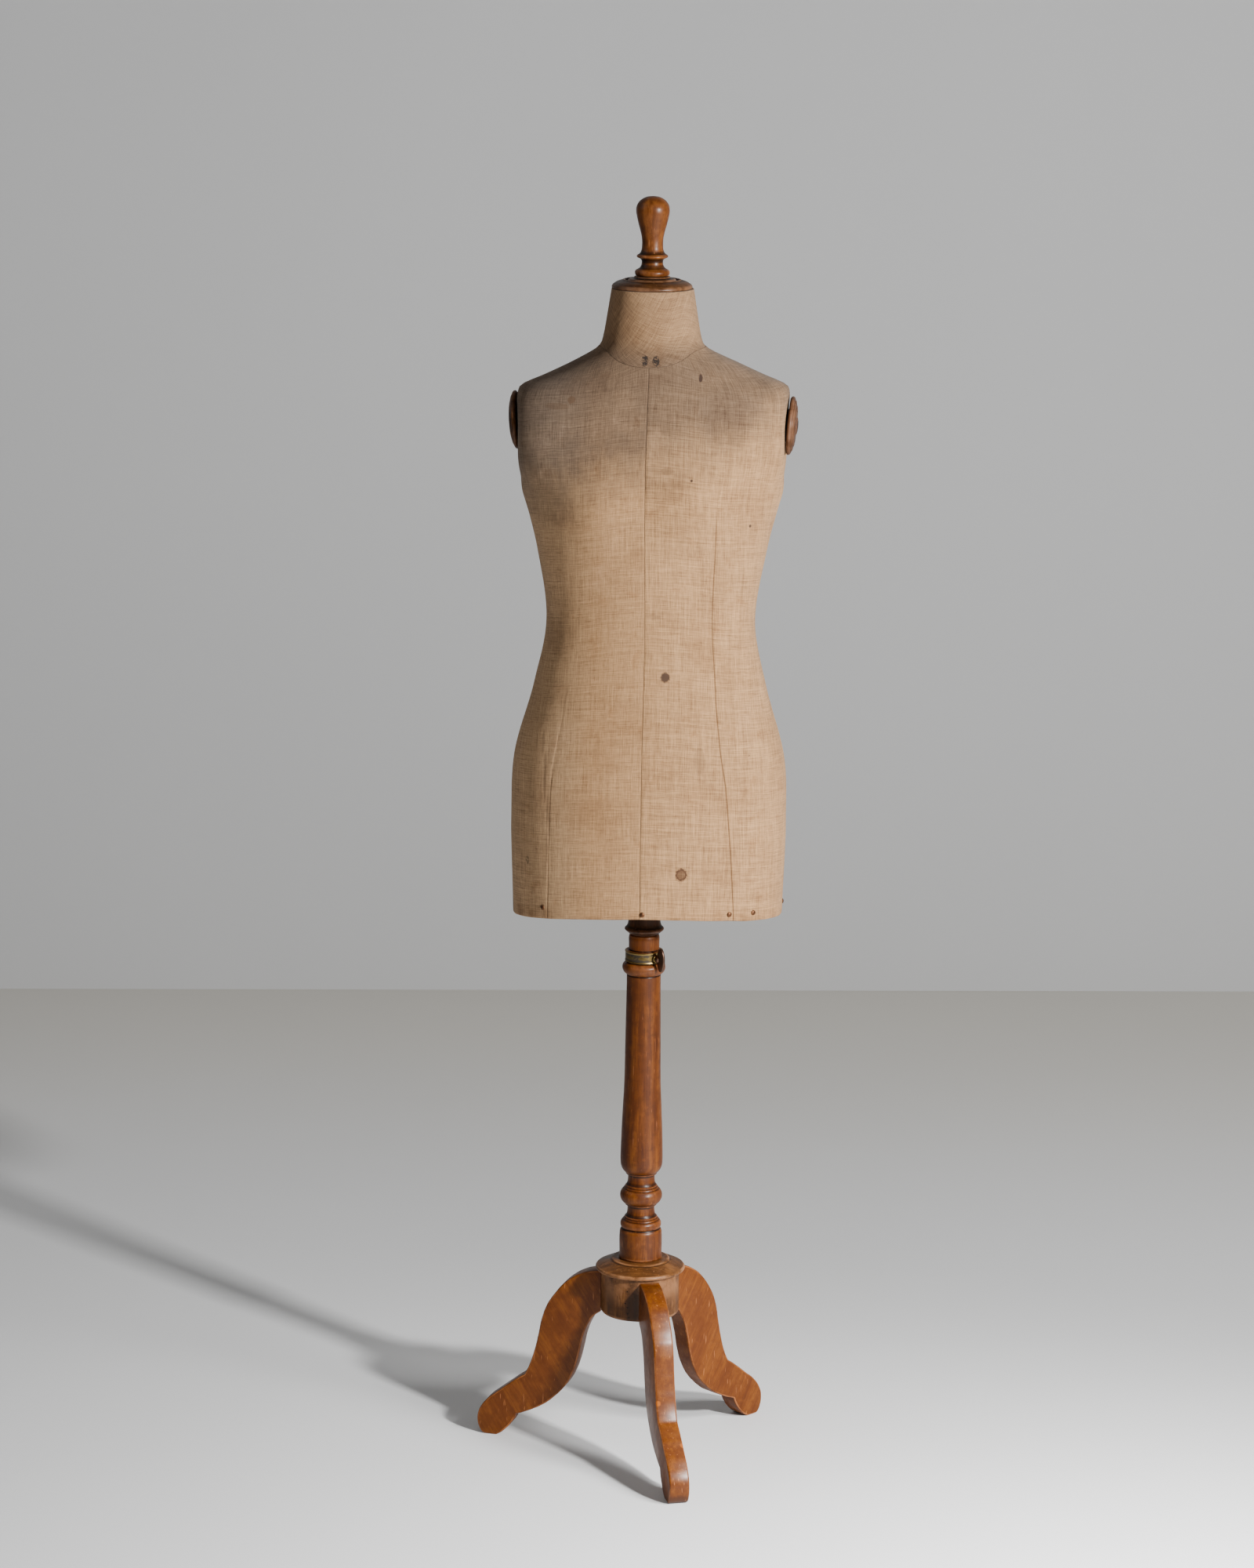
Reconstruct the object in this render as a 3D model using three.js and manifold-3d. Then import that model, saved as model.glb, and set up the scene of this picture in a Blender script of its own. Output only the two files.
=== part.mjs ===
// A dressmaker's dress form: a linen-covered torso with turned wooden neck cap, finial and arm
// caps, on a pole that slides in a turned column on a three-legged wooden stand.
// Millimetres, +Z up. The torso faces -Y. The floor is z = 0, and the origin is the middle of the
// outline seen from above, so the column stands a little to one side of it.
import * as THREE from 'three';
import { mergeVertices } from 'three/addons/utils/BufferGeometryUtils.js';
import Module from 'manifold-3d';

const wasm = await Module();
wasm.setup();

// ---- driving dimensions ----
const GAP = 0.3;                                   // clearance between neighbouring pieces
const COLUMN_AT = new THREE.Vector3(16, 18, 0);    // the column's axis, seen from the origin
const TURNED_SIDES = 20;                           // facets round a turned piece
const HUB_SIDES = 24;

const LEG_THICKNESS = 26;
const LEG_AZIMUTHS = { leg_front: 19, leg_left: -101, leg_right: 139 };  // degrees from -Y towards +X
const TENON_THICKNESS = 12;
const TENON_BACK_R = 30;
const TENON_TOP_Z = 231;

const DRUM_R = 49.6;
const DRUM_BOTTOM_Z = 184;
const FLANGE_BOTTOM_Z = 240.6;
const FLANGE_TOP_Z = 257.5;

const COLUMN_TENON_R = 18;
const COLUMN_FOOT_Z = 200;
const COLUMN_TOP_Z = 679.4;
const BAND_SEAT_R = 21.4;
const BAND_BOTTOM_Z = 644.8;
const BAND_TOP_Z = 658.6;

const POLE_R = 12.5;
const POLE_BORE_R = 12.8;
const POLE_BOTTOM_Z = 397;
const POLE_TOP_Z = 797;
const BORE_BOTTOM_Z = 392;

const CLAMP_AZIMUTH = 41.5;                        // degrees from -Y towards +X
const CLAMP_Z = 651.6;
const SHANK_R = 3;
const PAD_R = 5;
const PAD_THICKNESS = 2.4;
const PAD_TRAVEL = 1.5;
const LEAF_HALF_HEIGHT = 15;
const LEAF_START_R = 28.5;
const LEAF_END_R = 42.5;
const LEAF_THICKNESS = 3.6;

const BOARD_BOTTOM_Z = 722;
const BOARD_TOP_Z = 742;
const SOCKET_R = 32;
const SOCKET_TOP_Z = 812;
const TORSO_TOP_Z = 1488;
const NECK_BLOCK_BOTTOM_Z = 1440;
const STUD_R = 3;

const LINEN = 1.6;                                 // cover thickness
const SHELL = 5.2;                                 // papier-mache thickness
const SHELL_TOP = LINEN + GAP;                     // depth of the shell's outer face
const INSIDE = SHELL_TOP + SHELL + GAP + 0.4;      // depth at which the wooden inner pieces start

const ARM_Z = 1324;
const ARM_WALL_X = 166.5;                          // half width across the arm walls at ARM_Z
const ARM_SLOPE = 0.0687;                          // the walls lean out towards the top
const ARM_CAP_BACK = -0.8;                         // back of the cap, measured from the wall
const ARM_SPIGOT_R = 20;
const ARM_SPIGOT_LENGTH = 16;
const ARM_BLOCK_R = 30;
const ARM_BLOCK_DEPTH = 24;

const TACK_LOW_Z = 724.5;
const TACK_RISE = 6;                               // the line of tacks climbs to the middle, front and back
const TACK_ANGLES = [-47, 1, 40, 54, 95, 137, 180, -137, -95];  // degrees round the hem from the front
const TACK_R = 0.8;
const TACK_HEAD_R = 3.2;
const TACK_LENGTH = 14;
const TACK_HOLE_R = 1.1;
const TACK_HOLE_DEPTH = 18;

const ARM_DISH_R = 40;                             // the arm wall is slightly hollow round its cap
const ARM_DISH_DEPTH = 3.5;
const WALL_BLEND = 14;                             // how softly the body turns into the flat arm wall
const BUST_X = 66;
const BUST_Z = 1232;
const BUST_DEPTH = 7;
const HEM_LIFT_FRONT = 15;
const HEM_LEAN = 0.02;                             // the hem climbs a little from left to right
const HEM_LEAN_FROM = -60;
const HEM_LIFT_BACK = 7;
const BODY_SHIFT = 3.4;                            // the torso stands a little to one side of its pole
const NECK_SHIFT = 1;
const SHOULDER_LEAN = 0.02;                        // the right shoulder stands higher than the left

// Torso stations from hem to neck: height, half width, depth in front, depth behind.
const STATIONS = [
  [707, 168.5, 112, 112],
  [732, 169.3, 112, 113],
  [830, 171.6, 112, 118],
  [910, 168.0, 109, 115],
  [1000, 143.5, 98, 100],
  [1080, 129.3, 88, 86],
  [1165, 141.2, 98, 88],
  [1240, 160.8, 107, 96],
  [1285, 180.0, 103, 98],
  [1325, 184.0, 93, 96],
  [1354, 180.0, 84, 91],
  [1370, 163.5, 78.5, 86],
  [1384, 131.8, 72.5, 79],
  [1408, 81.0, 63.5, 67],
  [1417, 67.0, 61, 63],
  [1430, 59.9, 57, 59],
  [TORSO_TOP_Z, 50.2, 49.9, 50.4],
];
const NECK_SEAM = 14;                              // the station where the neck band begins
const SKIN_COLUMNS = 16;                           // columns of a skin over half of the torso
const TOP = STATIONS.length - 1;

// ---- materials ----
const wood = (color, roughness = 0.45) => (
  new THREE.MeshStandardMaterial({ color, roughness, metalness: 0 }));
const metal = (color, roughness) => new THREE.MeshStandardMaterial({ color, roughness, metalness: 1 });
const MATERIALS = {
  column: wood(0x8a4a25, 0.35),
  leg: wood(0x93562b, 0.35),
  dark: wood(0x3a2016, 0.4),
  inside: wood(0xb08a5c, 0.8),
  finial: wood(0x8c5a30, 0.35),
  linen: wood(0xb3987a, 0.95),
  shell: wood(0x8d7f6c, 0.95),
  brass: metal(0x9c8150, 0.4),
  iron: metal(0x3a2c28, 0.5),
  steel: metal(0x9a9a98, 0.35),
};

// ---- solids ----
const toRadians = THREE.MathUtils.degToRad;

// A direction in the floor plane, measured from -Y towards +X.
function heading(degrees) {
  return new THREE.Vector3(Math.sin(toRadians(degrees)), -Math.cos(toRadians(degrees)), 0);
}

function toSolid(geometry) {
  const bare = geometry.clone();
  bare.deleteAttribute('normal');
  bare.deleteAttribute('uv');
  const merged = mergeVertices(bare.index ? bare.toNonIndexed() : bare, 1e-4);
  return new wasm.Manifold(new wasm.Mesh({
    numProp: 3,
    vertProperties: new Float32Array(merged.attributes.position.array),
    triVerts: new Uint32Array(merged.index.array),
  }));
}

function toGeometry(solid) {
  const mesh = solid.getMesh();
  const geometry = new THREE.BufferGeometry();
  geometry.setAttribute('position', new THREE.BufferAttribute(mesh.vertProperties, 3));
  geometry.setIndex(new THREE.BufferAttribute(mesh.triVerts, 1));
  geometry.computeVertexNormals();
  return geometry;
}

// A turned piece: the profile's [radius, height] points are revolved about Z.
function turned(profile, sides = TURNED_SIDES) {
  const points = profile.map(([r, z]) => new THREE.Vector2(r, z));
  return new THREE.LatheGeometry(points, sides).rotateX(Math.PI / 2);
}

// A turned piece with a hole right through it.
function turnedRing(boreR, profile, sides = TURNED_SIDES) {
  const bottom = profile[0][1];
  const top = profile[profile.length - 1][1];
  return turned([...profile, [boreR, top], [boreR, bottom], profile[0]], sides);
}

function cylinderZ(radius, bottom, top, sides = TURNED_SIDES) {
  return turned([[0, bottom], [radius, bottom], [radius, top], [0, top]], sides);
}

// A cylinder along a direction, between two distances from a point.
function cylinderAlong(origin, direction, radius, start, end, sides = TURNED_SIDES) {
  const turn = new THREE.Quaternion().setFromUnitVectors(new THREE.Vector3(0, 0, 1), direction);
  const place = new THREE.Matrix4().compose(origin, turn, new THREE.Vector3(1, 1, 1));
  return cylinderZ(radius, start, end, sides).applyMatrix4(place);
}

function box(x0, x1, y0, y1, z0, z1) {
  const geometry = new THREE.BoxGeometry(x1 - x0, y1 - y0, z1 - z0);
  return geometry.translate((x0 + x1) / 2, (y0 + y1) / 2, (z0 + z1) / 2);
}

// ---- the torso's outer surface ----
// Cubic through the stations, so that heights between them stay smooth.
function station(v) {
  const i = Math.min(Math.floor(v), TOP - 1);
  const t = v - i;
  const at = (k) => STATIONS[Math.max(0, Math.min(TOP, k))];
  const [p, q, r, s] = [at(i - 1), at(i), at(i + 1), at(i + 2)];
  return q.map((_, k) => q[k] + 0.5 * t * (r[k] - p[k]
    + t * (2 * p[k] - 5 * q[k] + 4 * r[k] - s[k] + t * (3 * (q[k] - r[k]) + s[k] - p[k]))));
}

function smoothStep(value, low, high) {
  return THREE.MathUtils.smoothstep(value, low, high);
}

function softMin(value, limit, blend) {
  const h = THREE.MathUtils.clamp(0.5 + 0.5 * (limit - value) / blend, 0, 1);
  return limit + (value - limit) * h - blend * h * (1 - h);
}

// A point of the outer surface: angle in radians round from the front, v counted in stations.
function surfacePoint(angle, v) {
  const [height, halfWidth, front, back] = station(v);
  const facing = Math.cos(angle);
  const side = Math.sign(Math.sin(angle));
  let x = halfWidth * Math.abs(Math.sin(angle));
  let y = -(facing > 0 ? front : back) * facing;
  const wall = ARM_WALL_X + ARM_SLOPE * (height - ARM_Z);
  const nearArm = smoothStep(height, 1235, 1262) * (1 - smoothStep(height, 1362, 1376));
  x += nearArm * (softMin(x, wall, WALL_BLEND) - x);
  const fromArm = Math.hypot(y, height - ARM_Z) / ARM_DISH_R;
  x -= nearArm * ARM_DISH_DEPTH * Math.exp(-(fromArm ** 4)) * smoothStep(x, 120, 160);
  const bust = Math.exp(-(((x - BUST_X) / 42) ** 2) - ((height - BUST_Z) / 50) ** 2);
  y -= facing > 0 ? BUST_DEPTH * bust * smoothStep(facing, 0, 0.6) : 0;
  const lift = (facing > 0 ? HEM_LIFT_FRONT : HEM_LIFT_BACK) * facing ** 2;
  const atShoulders = smoothStep(height, 1180, 1300) * (1 - smoothStep(height, 1395, 1425));
  const atHem = 1 - smoothStep(height, 707, 790);
  const hemRise = lift + HEM_LEAN * (side * x - HEM_LEAN_FROM);
  const z = height + hemRise * atHem + SHOULDER_LEAN * side * x * atShoulders;
  const shift = BODY_SHIFT + (NECK_SHIFT - BODY_SHIFT) * smoothStep(height, 1380, 1430);
  return new THREE.Vector3(side * x + shift, y, z);
}

// The same point moved inwards along the surface's normal; the hem and the neck stay level.
function innerPoint(angle, v, depth) {
  const step = 0.01;
  const low = Math.max(0, v - 0.1);
  const high = Math.min(TOP, v + 0.1);
  const along = surfacePoint(angle + step, v).sub(surfacePoint(angle - step, v));
  const up = surfacePoint(angle, high).sub(surfacePoint(angle, low));
  const normal = along.cross(up).normalize();
  if (v < 0.01 || v > TOP - 0.01) {
    normal.setZ(0).normalize();
  }
  return surfacePoint(angle, v).addScaledVector(normal, -depth);
}

function meshFrom(points, triangles) {
  const geometry = new THREE.BufferGeometry();
  const numbers = points.flatMap((point) => point.toArray());
  geometry.setAttribute('position', new THREE.Float32BufferAttribute(numbers, 3));
  geometry.setIndex(triangles);
  geometry.computeVertexNormals();
  return geometry;
}

// A closed skin between two depths over a patch of the surface.
function skin(fromAngle, toAngle, columns, stations, outerDepth, innerDepth) {
  const points = [];
  const triangles = [];
  const rows = stations.length;
  const side = (columns + 1) * rows;
  for (const depth of [outerDepth, innerDepth]) {
    for (const v of stations) {
      for (let i = 0; i <= columns; i += 1) {
        const angle = fromAngle + (toAngle - fromAngle) * i / columns;
        points.push(innerPoint(toRadians(angle), v, depth));
      }
    }
  }
  const quad = (a, b, c, d) => triangles.push(a, b, c, a, c, d);
  const at = (layer, row, column) => layer * side + row * (columns + 1) + column;
  for (let row = 0; row < rows - 1; row += 1) {
    for (let i = 0; i < columns; i += 1) {
      quad(at(0, row, i), at(0, row, i + 1), at(0, row + 1, i + 1), at(0, row + 1, i));
      quad(at(1, row, i), at(1, row + 1, i), at(1, row + 1, i + 1), at(1, row, i + 1));
    }
    quad(at(0, row, 0), at(0, row + 1, 0), at(1, row + 1, 0), at(1, row, 0));
    quad(at(0, row, columns), at(1, row, columns), at(1, row + 1, columns), at(0, row + 1, columns));
  }
  for (let i = 0; i < columns; i += 1) {
    quad(at(0, 0, i), at(1, 0, i), at(1, 0, i + 1), at(0, 0, i + 1));
    const last = rows - 1;
    quad(at(0, last, i), at(0, last, i + 1), at(1, last, i + 1), at(1, last, i));
  }
  return meshFrom(points, triangles);
}

// The whole torso as one solid at a depth, used to fit the wooden pieces inside it.
function insideSolid(stations, depth) {
  const columns = 2 * SKIN_COLUMNS;
  const points = [];
  const triangles = [];
  for (const v of stations) {
    for (let i = 0; i < columns; i += 1) {
      points.push(innerPoint(2 * Math.PI * i / columns, v, depth));
    }
  }
  const rows = stations.length;
  for (let row = 0; row < rows - 1; row += 1) {
    for (let i = 0; i < columns; i += 1) {
      const [a, b] = [row * columns + i, row * columns + (i + 1) % columns];
      triangles.push(a, b, b + columns, a, b + columns, a + columns);
    }
  }
  const last = (rows - 1) * columns;
  for (let i = 1; i < columns - 1; i += 1) {
    triangles.push(0, i + 1, i, last, last + i, last + i + 1);
  }
  return toSolid(meshFrom(points, triangles));
}

// ---- the tree of named parts ----
const dressForm = new THREE.Group();
const stand = new THREE.Group();
dressForm.add(stand);
stand.position.copy(COLUMN_AT);

function add(name, geometry, material) {
  const mesh = new THREE.Mesh(geometry, material.clone());
  mesh.name = name;
  stand.add(mesh);
  return mesh;
}

// ---- stand ----
// One leg's outline, as distance from the column's axis and height.
function legOutline() {
  const upper = new THREE.SplineCurve([
    [44, 235.6], [60, 234.2], [77, 228.4], [94, 217.4], [110, 199.4], [121.5, 180.6], [127.6, 162.4],
    [131.6, 142], [137, 119], [142.5, 101.5], [149.5, 86.5],
  ].map(([r, z]) => new THREE.Vector2(r, z)));
  const toe = new THREE.SplineCurve([
    [149.5, 86.5], [166, 75], [183, 61.5], [199, 48.5], [208.6, 37], [213.2, 24], [211.8, 11], [204, 0],
  ].map(([r, z]) => new THREE.Vector2(r, z)));
  const heel = [[186, 0], [176.5, 7.8], [168, 17.4], [163.4, 25], [161.5, 30.4]];
  const lower = new THREE.SplineCurve([
    [161.5, 30.4], [143.5, 37.4], [124, 48], [107, 62.4], [93.3, 78.5], [84, 96.5], [78, 117],
    [73, 140], [66, 160.5], [57.5, 174.2], [44, 183.5],
  ].map(([r, z]) => new THREE.Vector2(r, z)));
  const points = [...upper.getPoints(16), ...toe.getPoints(14).slice(1)];
  points.push(...heel.map(([r, z]) => new THREE.Vector2(r, z)), ...lower.getPoints(16).slice(1));
  return points;
}

// Extrudes an outline of [distance, height] into a board that stands on edge along +X.
function boardOnEdge(outline, thickness) {
  const shape = new THREE.Shape(outline);
  const geometry = new THREE.ExtrudeGeometry(shape, { depth: thickness, bevelEnabled: false });
  return geometry.translate(0, 0, -thickness / 2).rotateX(Math.PI / 2);
}

function tenonBox(clearance) {
  const half = TENON_THICKNESS / 2 + clearance;
  const [bottom, top] = [DRUM_BOTTOM_Z - clearance, TENON_TOP_Z + clearance];
  return box(TENON_BACK_R - clearance, DRUM_R + 4, -half, half, bottom, top);
}

function legGeometry(azimuth) {
  const turn = toRadians(azimuth - 90);
  const board = toSolid(boardOnEdge(legOutline(), LEG_THICKNESS).rotateZ(turn));
  const drumRoom = toSolid(cylinderZ(DRUM_R + GAP, 0, FLANGE_TOP_Z, HUB_SIDES));
  return toGeometry(board.subtract(drumRoom).add(toSolid(tenonBox(0).rotateZ(turn))));
}

function hubDrum() {
  const profile = [[46, DRUM_BOTTOM_Z], [48.6, 185.6], [DRUM_R, 189], [DRUM_R, FLANGE_BOTTOM_Z - GAP]];
  let drum = toSolid(turnedRing(COLUMN_TENON_R + GAP, profile, HUB_SIDES));
  for (const azimuth of Object.values(LEG_AZIMUTHS)) {
    drum = drum.subtract(toSolid(tenonBox(GAP).rotateZ(toRadians(azimuth - 90))));
  }
  return toGeometry(drum);
}

function hubFlange() {
  return turnedRing(COLUMN_TENON_R + GAP, [
    [54.6, FLANGE_BOTTOM_Z], [56.7, 242.2], [56.6, 244.4], [55.2, 246], [45.5, 250.2], [38.6, 253.4],
    [36.2, 255.8], [28, FLANGE_TOP_Z],
  ], HUB_SIDES);
}

const clampDirection = heading(CLAMP_AZIMUTH);
const clampOrigin = new THREE.Vector3(0, 0, CLAMP_Z);
const CLAMP_SIDES = 16;
const BOSS_R = 5;
const BOSS_END_R = 27.2;

function clampCylinder(radius, start, end) {
  return cylinderAlong(clampOrigin, clampDirection, radius, start, end, CLAMP_SIDES);
}

function columnGeometry() {
  const shoulder = FLANGE_TOP_Z + GAP;
  const body = toSolid(turned([
    [0, COLUMN_FOOT_Z], [COLUMN_TENON_R, COLUMN_FOOT_Z], [COLUMN_TENON_R, shoulder], [26.6, shoulder],
    [26.8, 289], [24.6, 295.7], [25.7, 301], [24.2, 306], [20.4, 309], [17.4, 315.5], [18.4, 325],
    [21.6, 328.6], [26.2, 336], [26.2, 342.6], [22, 349], [18.2, 353.4], [17.2, 359], [18.4, 365.4],
    [24.2, 373.8], [26.6, 382], [26.3, 408], [23.2, 482], [21.9, 574], [21.3, 604], [21.3, 629.6],
    [25, 631.6], [27, 636], [25.8, 641],
    [BAND_SEAT_R, 643.6], [BAND_SEAT_R, BAND_TOP_Z + GAP], [19.2, BAND_TOP_Z + GAP], [19.2, 676.4],
    [18, 678.7], [16, COLUMN_TOP_Z], [0, COLUMN_TOP_Z],
  ]));
  const bore = toSolid(cylinderZ(POLE_BORE_R, BORE_BOTTOM_Z, COLUMN_TOP_Z + 5));
  const pocketEnd = POLE_BORE_R + PAD_THICKNESS + PAD_TRAVEL + GAP;
  const padPocket = toSolid(clampCylinder(PAD_R + GAP, 0, pocketEnd));
  const screwHole = toSolid(clampCylinder(SHANK_R + GAP, 0, LEAF_START_R));
  return toGeometry(body.subtract(bore).subtract(padPocket).subtract(screwHole));
}

function clampBand() {
  const ring = toSolid(turnedRing(BAND_SEAT_R + GAP, [
    [23.6, BAND_BOTTOM_Z], [24.1, BAND_BOTTOM_Z + 0.8], [24.1, BAND_TOP_Z - 0.8], [23.6, BAND_TOP_Z],
  ]));
  const seat = toSolid(cylinderZ(BAND_SEAT_R + GAP, BAND_BOTTOM_Z, BAND_TOP_Z));
  const boss = toSolid(clampCylinder(BOSS_R, BAND_SEAT_R, BOSS_END_R)).subtract(seat);
  const screwHole = toSolid(clampCylinder(SHANK_R + GAP, POLE_BORE_R, LEAF_START_R));
  return toGeometry(ring.add(boss).subtract(screwHole));
}

// The flat oval leaf that the fingers turn, standing on edge at the end of the screw.
function thumbScrew() {
  const leaf = new THREE.Shape();
  const middle = (LEAF_START_R + LEAF_END_R) / 2;
  leaf.absellipse(middle, 0, (LEAF_END_R - LEAF_START_R) / 2, LEAF_HALF_HEIGHT, 0, 2 * Math.PI);
  const plate = boardOnEdge(leaf.getPoints(14), LEAF_THICKNESS);
  plate.rotateZ(toRadians(CLAMP_AZIMUTH - 90)).translate(0, 0, CLAMP_Z);
  const shank = clampCylinder(SHANK_R, POLE_BORE_R + PAD_THICKNESS + GAP, LEAF_START_R + 4);
  return toGeometry(toSolid(plate).add(toSolid(shank)));
}

for (const [name, azimuth] of Object.entries(LEG_AZIMUTHS)) {
  add(name, legGeometry(azimuth), MATERIALS.leg);
}
add('hub_drum', hubDrum(), MATERIALS.leg);
add('hub_flange', hubFlange(), MATERIALS.leg);
add('column', columnGeometry(), MATERIALS.column);
add('clamp_band', clampBand(), MATERIALS.brass);
add('clamp_pad', clampCylinder(PAD_R, POLE_BORE_R, POLE_BORE_R + PAD_THICKNESS), MATERIALS.brass);
add('thumb_screw', thumbScrew(), MATERIALS.iron);

// ---- pole and its collar ----
add('inner_pole', turned([[0, POLE_BOTTOM_Z], [11.5, POLE_BOTTOM_Z], [POLE_R, POLE_BOTTOM_Z + 1.2],
  [POLE_R, POLE_TOP_Z - 1], [11.5, POLE_TOP_Z], [0, POLE_TOP_Z]]), MATERIALS.inside);
add('pole_collar', turnedRing(POLE_R + GAP, [
  [17.8, COLUMN_TOP_Z + GAP], [24, 684.2], [24.6, 685.8], [21.8, 690], [20.2, 697.6],
  [19.6, BOARD_BOTTOM_Z - GAP],
]), MATERIALS.dark);

// ---- wooden pieces inside the torso ----
const wholeNumbers = (from, to) => Array.from({ length: to - from + 1 }, (_, i) => from + i);
const inside = insideSolid(wholeNumbers(0, TOP), INSIDE);

function fittedSlab(bottom, top) {
  return inside.intersect(toSolid(box(-250, 250, -250, 250, bottom, top)));
}

const poleHole = toSolid(cylinderZ(POLE_R + GAP, 700, POLE_TOP_Z + GAP));
const STUD_SIDES = 12;
const STUD_BOTTOM_Z = NECK_BLOCK_BOTTOM_Z + 12;
const STUD_TOP_Z = 1530;
const studHole = toSolid(cylinderZ(STUD_R + GAP, STUD_BOTTOM_Z, STUD_TOP_Z, STUD_SIDES));

// A tack: domed head on the cloth, with its point in the edge of the bottom board.
function tackPlace(angle) {
  const level = TACK_LOW_Z + TACK_RISE * Math.cos(toRadians(angle)) ** 2;
  let v = 0;
  while (surfacePoint(toRadians(angle), v).z < level) {
    v += 0.005;
  }
  const at = surfacePoint(toRadians(angle), v);
  const inward = innerPoint(toRadians(angle), v, 1).sub(at).setZ(0).normalize();
  const turn = new THREE.Quaternion().setFromUnitVectors(new THREE.Vector3(0, 0, -1), inward);
  return new THREE.Matrix4().compose(at, turn, new THREE.Vector3(1, 1, 1));
}

const tackPlaces = TACK_ANGLES.map(tackPlace);
const TACK_SIDES = 8;
const tackHoles = tackPlaces.map((place) => {
  const hole = cylinderZ(TACK_HOLE_R, -TACK_HOLE_DEPTH, TACK_HEAD_R, TACK_SIDES);
  return toSolid(hole.applyMatrix4(place));
});
const drillTacks = (solid) => tackHoles.reduce((left, hole) => left.subtract(hole), solid);

const bottomBoard = drillTacks(fittedSlab(BOARD_BOTTOM_Z, BOARD_TOP_Z).subtract(poleHole));
const poleSocket = toSolid(cylinderZ(SOCKET_R, BOARD_TOP_Z + GAP, SOCKET_TOP_Z)).subtract(poleHole);
const neckBlock = fittedSlab(NECK_BLOCK_BOTTOM_Z, TORSO_TOP_Z - GAP).subtract(studHole);
add('bottom_board', toGeometry(bottomBoard), MATERIALS.inside);
add('pole_socket', toGeometry(poleSocket), MATERIALS.inside);
add('neck_block', toGeometry(neckBlock), MATERIALS.inside);

// ---- arm caps ----
const BUTTON_R = 11;
const BUTTON_SEAT = 8;                             // how far out the button's dished seat lies
const ARM_PROFILE = [
  [0, -ARM_SPIGOT_LENGTH], [ARM_SPIGOT_R, -ARM_SPIGOT_LENGTH], [ARM_SPIGOT_R, 0],
  [31.5, 0], [35.6, 1.4], [36, 3.6], [33.4, 6], [26.4, 7.8], [18.2, 9.4],
  [BUTTON_R + GAP, 9.6], [BUTTON_R + GAP, BUTTON_SEAT], [0, BUTTON_SEAT],
];
const arms = [['left', -1], ['right', 1]].map(([name, side]) => {
  const outward = new THREE.Vector3(side, 0, -ARM_SLOPE).normalize();
  const middle = new THREE.Vector3(side * (ARM_WALL_X + ARM_CAP_BACK) + BODY_SHIFT, 0, ARM_Z);
  return { name, outward, middle };
});

function alongArm({ outward, middle }, geometry) {
  const turn = new THREE.Quaternion().setFromUnitVectors(new THREE.Vector3(0, 0, 1), outward);
  return geometry.applyMatrix4(new THREE.Matrix4().compose(middle, turn, new THREE.Vector3(1, 1, 1)));
}

// The cap is a turned disc with a spigot behind it and a dished seat for its button.
function armCap(arm) {
  return alongArm(arm, turned(ARM_PROFILE));
}

function armButton(arm) {
  const back = BUTTON_SEAT + GAP;
  return alongArm(arm, turned([[0, back], [BUTTON_R, back], [BUTTON_R, 10], [7.5, 11.6], [0, 12.2]]));
}

for (const arm of arms) {
  const room = toSolid(alongArm(arm, cylinderZ(ARM_SPIGOT_R + GAP, -ARM_SPIGOT_LENGTH - GAP, 20)));
  arm.room = room;
  const block = toSolid(alongArm(arm, cylinderZ(ARM_BLOCK_R, -ARM_BLOCK_DEPTH - 8, 10)));
  add(`arm_block_${arm.name}`, toGeometry(inside.intersect(block).subtract(room)), MATERIALS.inside);
  add(`arm_cap_${arm.name}`, armCap(arm), MATERIALS.finial);
  add(`arm_button_${arm.name}`, armButton(arm), MATERIALS.dark);
}

// ---- shell and linen cover ----
const openArms = (solid) => arms.reduce((left, arm) => left.subtract(arm.room), solid);
const SEAM = 0.1;                                  // degrees kept clear on each side of a seam
const bodyStations = [...wholeNumbers(0, NECK_SEAM - 1), NECK_SEAM - 0.03];
const neckStations = [NECK_SEAM, ...wholeNumbers(NECK_SEAM + 1, TOP)];

const SHELLS = { torso_shell_front: [-90, 90], torso_shell_back: [90, 270] };
const shellStations = wholeNumbers(0, TOP);
for (const [name, [from, to]] of Object.entries(SHELLS)) {
  const [outer, inner] = [SHELL_TOP, SHELL_TOP + SHELL];
  const shell = skin(from + SEAM, to - SEAM, SKIN_COLUMNS, shellStations, outer, inner);
  add(name, toGeometry(drillTacks(openArms(toSolid(shell)))), MATERIALS.shell);
}

const PANELS = {
  cover_front_left: [-90, 0],
  cover_front_right: [0, 90],
  cover_back_right: [90, 180],
  cover_back_left: [180, 270],
};
for (const [name, [from, to]] of Object.entries(PANELS)) {
  const panel = skin(from + SEAM, to - SEAM, SKIN_COLUMNS / 2, bodyStations, 0, LINEN);
  add(name, toGeometry(drillTacks(openArms(toSolid(panel)))), MATERIALS.linen);
}

const NECK_PANELS = { neck_band_front: [-90, 90], neck_band_back: [90, 270] };
for (const [name, [from, to]] of Object.entries(NECK_PANELS)) {
  add(name, skin(from + SEAM, to - SEAM, SKIN_COLUMNS, neckStations, 0, LINEN), MATERIALS.linen);
}

tackPlaces.forEach((place, i) => {
  const tack = turned([
    [0, -TACK_LENGTH], [TACK_R, 2 - TACK_LENGTH], [TACK_R, GAP], [TACK_HEAD_R, GAP],
    [2.6, 1.3], [1.2, 1.9], [0, 2],
  ], TACK_SIDES);
  add(`hem_tack_${i + 1}`, tack.applyMatrix4(place), MATERIALS.iron);
});

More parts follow.
